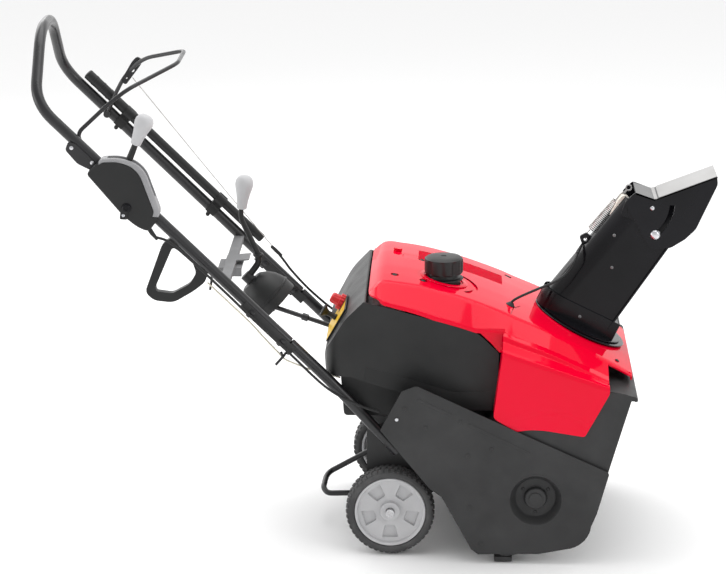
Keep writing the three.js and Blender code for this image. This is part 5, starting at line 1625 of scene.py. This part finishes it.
fasten("bail_bolts", "flange", [((-556, -HANDLE_HALF - TUBE_R - 2.4, 760), (0, -1, 0)),
                                ((-594, -HANDLE_HALF - TUBE_R - 2.4, 788), (0, -1, 0))],
       "machine", ZINC, 0.7)
print("bail:", made[-3:])

# %% [markdown]
# ## Levers and their housings
#
# The deflector lever comes out of a moulded box on the right tube. The box is two halves: a dark
# body and a light grey lid that runs along its top and front. The knobs are soft grey bulbs, turned
# on a lathe. The chute lever stands on a shaft between the tubes and passes through a black bell.

# %% Control box, lid and levers
BOX_OUT, BOX_IN = -226, -HANDLE_HALF - TUBE_R - 1
LEVER_Y = (BOX_OUT + BOX_IN) / 2
BOX_SIDE = [(-564, 746), (-544, 763), (-536, 774), (-504, 776), (-473, 767), (-454, 749), (-428, 674),
            (-433, 658), (-450, 636), (-471, 645), (-496, 665)]
LID_LINE = [(-541, 762), (-534, 767), (-506, 768), (-481, 760), (-465, 744), (-440, 674), (-443, 664)]
slot_cut = plate([(-530, 724), (-522, 800), (-440, 800), (-396, 752), (-412, 706), (-440, 700)],
                 LEVER_Y - 8.4, LEVER_Y + 8.4)
body_outline = side_cut(BOX_SIDE, [8, 8, 10, 14, 18, 18, 10, 10, 10, 12, 16])
lid_tool = plate([*LID_LINE, (-400, 664), (-400, 820), (-541, 820)], -260, -150)
dark = carve(plate(body_outline, BOX_OUT, BOX_IN, 3.2, segments=3), lid_tool)
box = Piece()
box.add(carve(dark, slot_cut.copy()), MOULDED)
box.done("control_box_body", "machine", "black_plastic", ["control_box"])
lid_side = [(p.x, p.z) for p in rounded_path([(x + 0.8, 0, z + 0.8) for x, z in LID_LINE], 12)]
lid_block = plate([*lid_side, (-400, 664), (-400, 820), (-541, 820)], -260, -150)
lid = Piece()
# The lid's grey is painted shade: darker than the knobs' grey so that the top light does not wash it out.
lid.add(carve(carve(plate(body_outline, BOX_OUT + 1.4, BOX_IN - 0.6, 3.2, segments=3), lid_block,
                    operation="INTERSECT"), slot_cut), LID_GREY_PAINTED_SHADE)
lid.done("control_box_cover", "machine", "grey_plastic", ["control_box_lid"])
boss = Piece()
boss_profile = [(0, 0), (9.4, 0), (9.4, 1.8), (7.6, 2.6), (7.4, 5.2), (6.4, 6), (3.4, 6.2), (3, 5.2), (0, 5)]
boss.add(turned(boss_profile, (-490, BOX_OUT + 0.4, 682), (0, -1, 0), 30), PIANO)
boss.add(plate(side_cut([(-500, 683), (-488, 678), (-489, 660), (-503, 661)], 3), BOX_OUT - 2.2,
               BOX_OUT + 0.6, 0.7, [circle(-496, 668, 3, 18)]), MOULDED)
boss.done("lever_pivot_bolt", "machine", "black_plastic")
fasten("box_screw", "pan", [((-496, BOX_OUT - 1.2, 668), (0, -1, 0))], "machine", ZINC, 0.7)

# %% Knob and deflector lever
KNOB = [(0, 0), (8.6, 0), (9.8, 1.4), (10.4, 8), (11.4, 18), (13.6, 30), (16.4, 41), (17.6, 48), (17, 55),
        (14, 61.5), (9, 65.2), (4, 66.4), (0, 66.6)]


def knob(foot, direction, length):
    """The soft grey bulb of a lever, scaled to a length."""
    share = length / KNOB[-1][1]
    return turned([(r, h * share) for r, h in KNOB], foot, direction, 40)


LEVER_PIVOT = Vector((-509, LEVER_Y, 711))
LEVER_LEAN = 1.18
LEVER_DIR = Vector((math.cos(LEVER_LEAN), 0, math.sin(LEVER_LEAN)))
lever = Piece()
lever.add(tube([LEVER_PIVOT, LEVER_PIVOT + LEVER_DIR * 60, LEVER_PIVOT + LEVER_DIR * 106],
               [7.6, 6.6, 5.4], 24), MOULDED)
lever.add(turned([(0, 0), (11, 0), (12, 1), (12, 13), (11, 14), (0, 14)],
                 (LEVER_PIVOT.x, LEVER_Y - 7, LEVER_PIVOT.z), (0, 1, 0), 32), MOULDED)
lever.done("deflector_lever_arm", "deflector_control", "black_paint", ["deflector_lever"])
tilt_grip = Piece()
tilt_grip.add(knob(LEVER_PIVOT + LEVER_DIR * 95, LEVER_DIR, 60), GREY)
tilt_grip.done("deflector_lever_grip", "deflector_control", "grey_plastic", ["deflector_lever_knob"])
print("box and lever:", made[-6:])

# %% Chute lever and bell
LEVER_AXIS = Vector((-278, 0, 485))


def axis_point(d):
    """A point d millimetres down the chute lever's turning axis."""
    return LEVER_AXIS + DOWN * d


BAR_REAR, BAR_FRONT = -324, -304
BAR_LIP = 1.6
FIXING_REAR, FIXING_FRONT = -338, -292
cross_z = handle_z(-313)
bar = Piece()
bar_half = HANDLE_HALF - TUBE_R - 0.4
bar.add(block(BAR_REAR, BAR_FRONT, -bar_half, bar_half, cross_z - 2.6, cross_z + 0.6, 0.8), BRACKET)
for edge in (BAR_REAR, BAR_FRONT - BAR_LIP):
    bar.add(block(edge, edge + BAR_LIP, -bar_half + 1, bar_half - 1, cross_z - 8, cross_z - 1, 0.5), BRACKET)
tongue = side_cut([(-326, cross_z - 2), (-300, cross_z - 2), (-279, cross_z + 0.6), (-279, cross_z + 3),
                   (-300, cross_z + 1)], 1)
bar.add(plate(tongue, -24, 24, 0.7), BRACKET)
bar.add(block(FIXING_REAR, FIXING_FRONT, -46, 20, cross_z - 12, cross_z - 8.2, 0.8), BRACKET)
bar.add(block(FIXING_REAR, FIXING_FRONT, -48, -46, cross_z - 26, cross_z - 8.2, 0.8), BRACKET)
bar.done("lever_crossbar_channel", "machine", "black_paint", ["lever_crossbar"])

# %% Bell, shaft and grip
bell_profile = [(12.8, -4), (21, -4), (24, -3), (35, 6), (44, 19), (49, 34), (50.4, 46), (50.6, 60),
                (49.6, 62), (47.4, 62), (47.6, 46), (46, 34), (41, 21), (33, 9), (22, 0.4), (12.8, 0)]
bell = Piece()
bell.add(turned(bell_profile, axis_point(6), DOWN, 56, closed=True), MOULDED)
bell.add(turned([(49.6, 38), (51.6, 39), (51.6, 42), (49.8, 43)], axis_point(6), DOWN, 56, closed=True),
         MOULDED)
bell.done("lever_bell_cover", "machine", "black_plastic", ["lever_bell"])
shaft = Piece()
shaft_route = rounded_path([axis_point(-8), (-262, 0, 520), (-264, 0, 540), (-297, 0, 610),
                            (-294, 0, 640)], 14, 6)
count = len(shaft_route)
shaft.add(tube(shaft_route, [6.4 - 1.6 * k / (count - 1) for k in range(count)], 22), MOULDED)
shaft.add(turned([(0, -16), (10, -16), (11, -15), (11, 33), (10, 34), (0, 34)], LEVER_AXIS, DOWN, 32),
          MOULDED)
shaft.add(turned([(6.4, -3), (9.5, -3), (10.5, 0), (9.5, 3), (6.4, 3)], (-263, 0, 536), (0.05, 0, 1), 28,
                 closed=True), MOULDED)
shaft.done("chute_lever_shaft", "chute_control", "black_paint", ["chute_lever"])
grip = Piece()
grip.add(knob((-294.6, 0, 628), (0.12, 0, 1), 67), GREY)
grip.done("chute_lever_grip", "chute_control", "grey_plastic", ["chute_lever_knob"])
ROD_DIR = Vector((0.948, 0, -0.318))
ROD_START = Vector((-224, 0, 428)) - ROD_DIR * 14
link = Piece()
link.add(tube([ROD_START, ROD_START + ROD_DIR * 150], 4.6, 20), TUBE_PAINT)
link.add(turned([(0, -8), (7.6, -8), (9, -6.6), (9, 6.6), (7.6, 8), (0, 8)], ROD_START, ROD_DIR, 28),
         TUBE_PAINT)
link.add(turned([(4.4, 62), (6.6, 62), (7.2, 64), (7.2, 74), (4.4, 76)], ROD_START, ROD_DIR, 28,
                closed=True), TUBE_PAINT)
link.done("chute_turning_rod", "chute_link", "black_paint", ["chute_rod"])
print("chute lever:", made[-5:])

# %% [markdown]
# ## Starter, cords and cables
#
# The pull grip is a D-shaped moulding with finger room. Its rope leaves the recoil starter, passes a
# small guide and is held by a hook, so it is a held cord and not a free one. Cords and Bowden cables are
# thin sweeps along smooth routes.

# %% Grip, rope and guides
GRIP_Y = -158
GRIP_OUTER = [(-431, 600), (-408, 614), (-362, 580), (-346, 548), (-350, 526), (-372, 508), (-412, 484),
              (-450, 488), (-466, 504)]
GRIP_HOLE = [(-412, 593), (-376, 566), (-368, 542), (-380, 521), (-414, 502), (-444, 506), (-446, 514)]
starter = Piece()
starter.add(plate(side_cut(GRIP_OUTER, 12), GRIP_Y - 8, GRIP_Y + 8, 3.4, [side_cut(GRIP_HOLE, 8)], 3),
            MOULDED)
starter.done("starter_grip_moulding", "starter", "black_plastic", ["starter_grip"])
wires = Piece()
hook_route = rounded_path([(-340, -HANDLE_HALF + TUBE_R, handle_z(-340)), (-340, -147, 551),
                           (-341, -145, 524), (-344, -151, 505)], 10, 5)
wires.add(tube(hook_route, 2.3, 14), TUBE_PAINT)
wires.done("rope_hook_wire", "machine", "black_paint", ["rope_hook"])
guide = Piece()
guide.add(tube(rounded_path([(-193, -HANDLE_HALF, handle_z(-193) - 24), (-198, -185, 394),
                             (-203, -187, 387), (-218, -193, 371)], 5, 5), 2.6, 14), TUBE_PAINT)
guide.add(tube([(-203, -187, 387), (-206, -191, 391), (-207, -194, 397)], 2.6, 14), TUBE_PAINT)
guide.done("rope_guide_wire", "machine", "black_plastic", ["rope_guide"])
rope_points = [(-348, GRIP_Y, 522), (-320, GRIP_Y - 3, 496), (-268, -166, 447), (-238, -174, 416),
               (-212, -182, 391), (-200, -182, 379), (-180, -176, 368), (-157, -170, 357),
               (-130, -161, 347), (-97.5, -150, 334)]
rope = Piece()
rope.add(tube(flowing_path(rope_points, 8), 1.7, 12), ROPE)
rope_piece = rope.done("starter_cord", None, "rope", ["starter_rope"])
tuple(at(-345, GRIP_Y, 519))
tuple(at(-212, -182, 391))
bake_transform(rope_piece)


# %% Cables
CABLE_R = 2.5
WIRE_R = 0.9


def length_mm(points):
    """The length of a route, in millimetres."""
    return sum((b - a).length for a, b in zip(points, points[1:]))


clutch_points = [(-519, 148, 856), (-364, 162, 656), (-240, 172, 500), (-209, 174.5, 458),
                 (-170, 186, 412), (-120, 200, 366), (-60, 212, 330), (-22, 222, 300)]
clutch = Piece()
clutch_route = flowing_path(clutch_points, 8)
inner_part, outer_part = clutch_route[:17], clutch_route[16:]
clutch.add(tube(inner_part, WIRE_R, 10), SPRING_STEEL)
clutch.add(tube(outer_part, 2.4, 14), MOULDED)
clutch.add(tube([outer_part[0] - DOWN * 14, outer_part[0], outer_part[0] + DOWN * 16], [3.2, 3.8, 3.2],
                16), MOULDED)
clutch_piece = clutch.done("clutch_cable_line", None, "steel", ["clutch_cable"])
tuple(at(-519, 148, 856))
tuple(at(-364, 162, 656))
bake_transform(clutch_piece)

# %% Deflector cables
tilt_points = [(-449, -200, 633), (-440, -203, 622), (-415, -203, 612), (-373, -203, 576),
               (-300, -203, 505), (-262, -204, 467), (-190, -204, 397), (-120, -204, 330),
               (-60, -205, 297), (-20, -207, 284)]
tilt_route = flowing_path(tilt_points, 8)
tilt = Piece()
tilt.add(tube(tilt_route, CABLE_R, 16), MOULDED)
tilt.add(tube([Vector((-452, -199.5, 637)), Vector((-446, -201, 628)), Vector((-436, -203, 616))],
              [4.6, 4.4, 2.8], 18), MOULDED)
tilt.done("deflector_cable_sleeve", "machine", "black_plastic", ["deflector_cable"])
front_points = [(226, -96, 470), (240, -94, 480), (280, -84, 496), (310, -72, 506), (334, -56, 520),
                (348, -50, 541), (356, -30, 556)]
front_route = flowing_path(front_points, 8)
front = Piece()
front.add(tube(front_route, CABLE_R, 16), MOULDED)
front.add(tube([front_route[-3], front_route[-1], front_route[-1] + Vector((9, 24, 9))], [3.6, 3.6, 2.2],
               14), MOULDED)
foot, normal = on_hood(226, -96)
front.add(turned([(2.4, -2), (8.4, -2), (9, 0.4), (7.2, 2.4), (4.6, 5.4), (2.6, 6.4)], foot, normal, 28,
                 closed=True), MOULDED)
front_piece = front.done("deflector_cable_front_sleeve", None, "black_plastic", ["deflector_cable_front"])
tuple(at(250, -92, 485))
tuple(at(348, -50, 541))
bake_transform(front_piece)
for name, route in (("starter cord", flowing_path(rope_points, 8)), ("clutch cable", clutch_route),
                    ("deflector cable", tilt_route), ("front cable", front_route)):
    print("%s: %.0f mm" % (name, length_mm(route)))

# %% [markdown]
# ## Clean-out tool, clips and stand
#
# A plastic bar for clearing the chute rides in two spring clips above the left tube. The clips grip
# both bars with open jaws. A bent rod behind the wheels stops the machine from tipping back.

# %% Tool
TOOL_RISE = 35
TOOL_R = 9
JAW_ENDS = (-10.5, 10.5)


def tool_at(x):
    """A point on the clean-out bar's middle line."""
    return Vector((x, HANDLE_HALF, handle_z(x) + TOOL_RISE))


tool = Piece()
tool.add(tube([tool_at(-613), tool_at(-611), tool_at(-504), tool_at(-500), tool_at(-270), tool_at(-268)],
              [9.4, 10.4, 10.4, TOOL_R, TOOL_R, 8.2], 28, 0.2), MOULDED)
for x in (-600, -586, -572):
    tool.add(tube([tool_at(x), tool_at(x + 5)], 11, 24, 0.1), MOULDED)
tool.done("clean_out_bar", "tool", "black_plastic", ["clean_out_tool"])


def spring_clip(x, name, node):
    """Two open jaws back to back, one on the tube and one round the tool."""
    rise = TOOL_RISE * 0.716

    def spot(across, up):
        return on_handle(x, HANDLE_HALF) + Vector((0, across, 0)) - UNDER * up

    outer = [(-13, -9), (-14.2, 0), (-13, 9), (-8, rise * 0.5), (-14, rise - 5), (-14.2, rise),
             (-12.4, rise + 7), (-8.6, rise + 9.5)]
    loop = [(p.x, p.y) for p in rounded_path([(a, b, 0) for a, b in outer], 5, 3)]
    inner = [(a * 0.79, b + (2 if b < 0 else 0)) for a, b in loop]
    left = loop + inner[::-1]
    piece = Piece()
    for mirror in (-1, 1):
        half = [(a * mirror, b) for a, b in left]
        jaw = skin([[spot(a, b) + DOWN * d for a, b in half] for d in JAW_ENDS])
        piece.add(soften(jaw, 0.6, 1, 50), MOULDED)
    web = [(-9, rise * 0.5 - 2.2), (9, rise * 0.5 - 2.2), (9, rise * 0.5 + 2.2), (-9, rise * 0.5 + 2.2)]
    piece.add(skin([[spot(a, b) + DOWN * d for a, b in web] for d in JAW_ENDS]), MOULDED)
    piece.add(tube([spot(-15, -12), spot(15, -12)], 4.2, 16), MOULDED)
    piece.done(name, "machine", "black_plastic", [node])


# %% Clips and stand
spring_clip(-548, "tool_clip_upper_jaws", "tool_clip_upper")
spring_clip(-368, "tool_clip_lower_jaws", "tool_clip_lower")
stand = Piece()
stand_route = rounded_path([(-44, 37, 126.5), (-126, 37, 80), (-133, 20, 76), (-137, -22, 66),
                            (-128, -37, 60), (-49, -37, 62), (-30, -37, 72), (-30, -37, 88)], 16, 6)
stand.add(tube(stand_route, 5.5, 20), TUBE_PAINT)
stand.done("rear_stand_rod", "machine", "black_paint", ["rear_stand_bar"])
print("tool and stand:", made[-4:])

# %% [markdown]
# ## Finishes for the pieces that keep their drawn shape
#
# Pieces inside the covers are already right in shape, so they only get their real surface: cast
# aluminium for the engine, turned steel for shafts, dull rubber for the belt.

# %% Dress the carried-over pieces
DRESS = {
    "engine_block": CAST, "crankshaft": TURNED, "auger_shaft": POWDER, "auger_pulley": CAST,
    "auger_bearing_left": CAST, "idler_arm": ZINC, "drive_belt": RUBBER, "belt_backplate": POWDER,
    "engine_frame": POWDER, "axle": TURNED, "recoil_cover": MOULDED, "muffler": SPRING_STEEL,
    "fuel_tank": MOULDED}
hidden = {node for obj in bpy.data.objects for node in obj.get("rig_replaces", [])}
for name, node in frame["nodes"].items():
    if name in hidden:
        continue
    node.data.materials.clear()
    node.data.materials.append(DRESS[name])
print("dressed:", len(DRESS), "of", len(frame["nodes"]), "nodes; pieces made:", len(made))

# %% [markdown]
# ## Clearing away the templates
#
# The fastener heads and the tread block were only templates for the tree's copies, so they are
# removed at the end.

# %% Remove the templates
for head in HEADS.values():
    bpy.data.objects.remove(head, do_unlink=True)
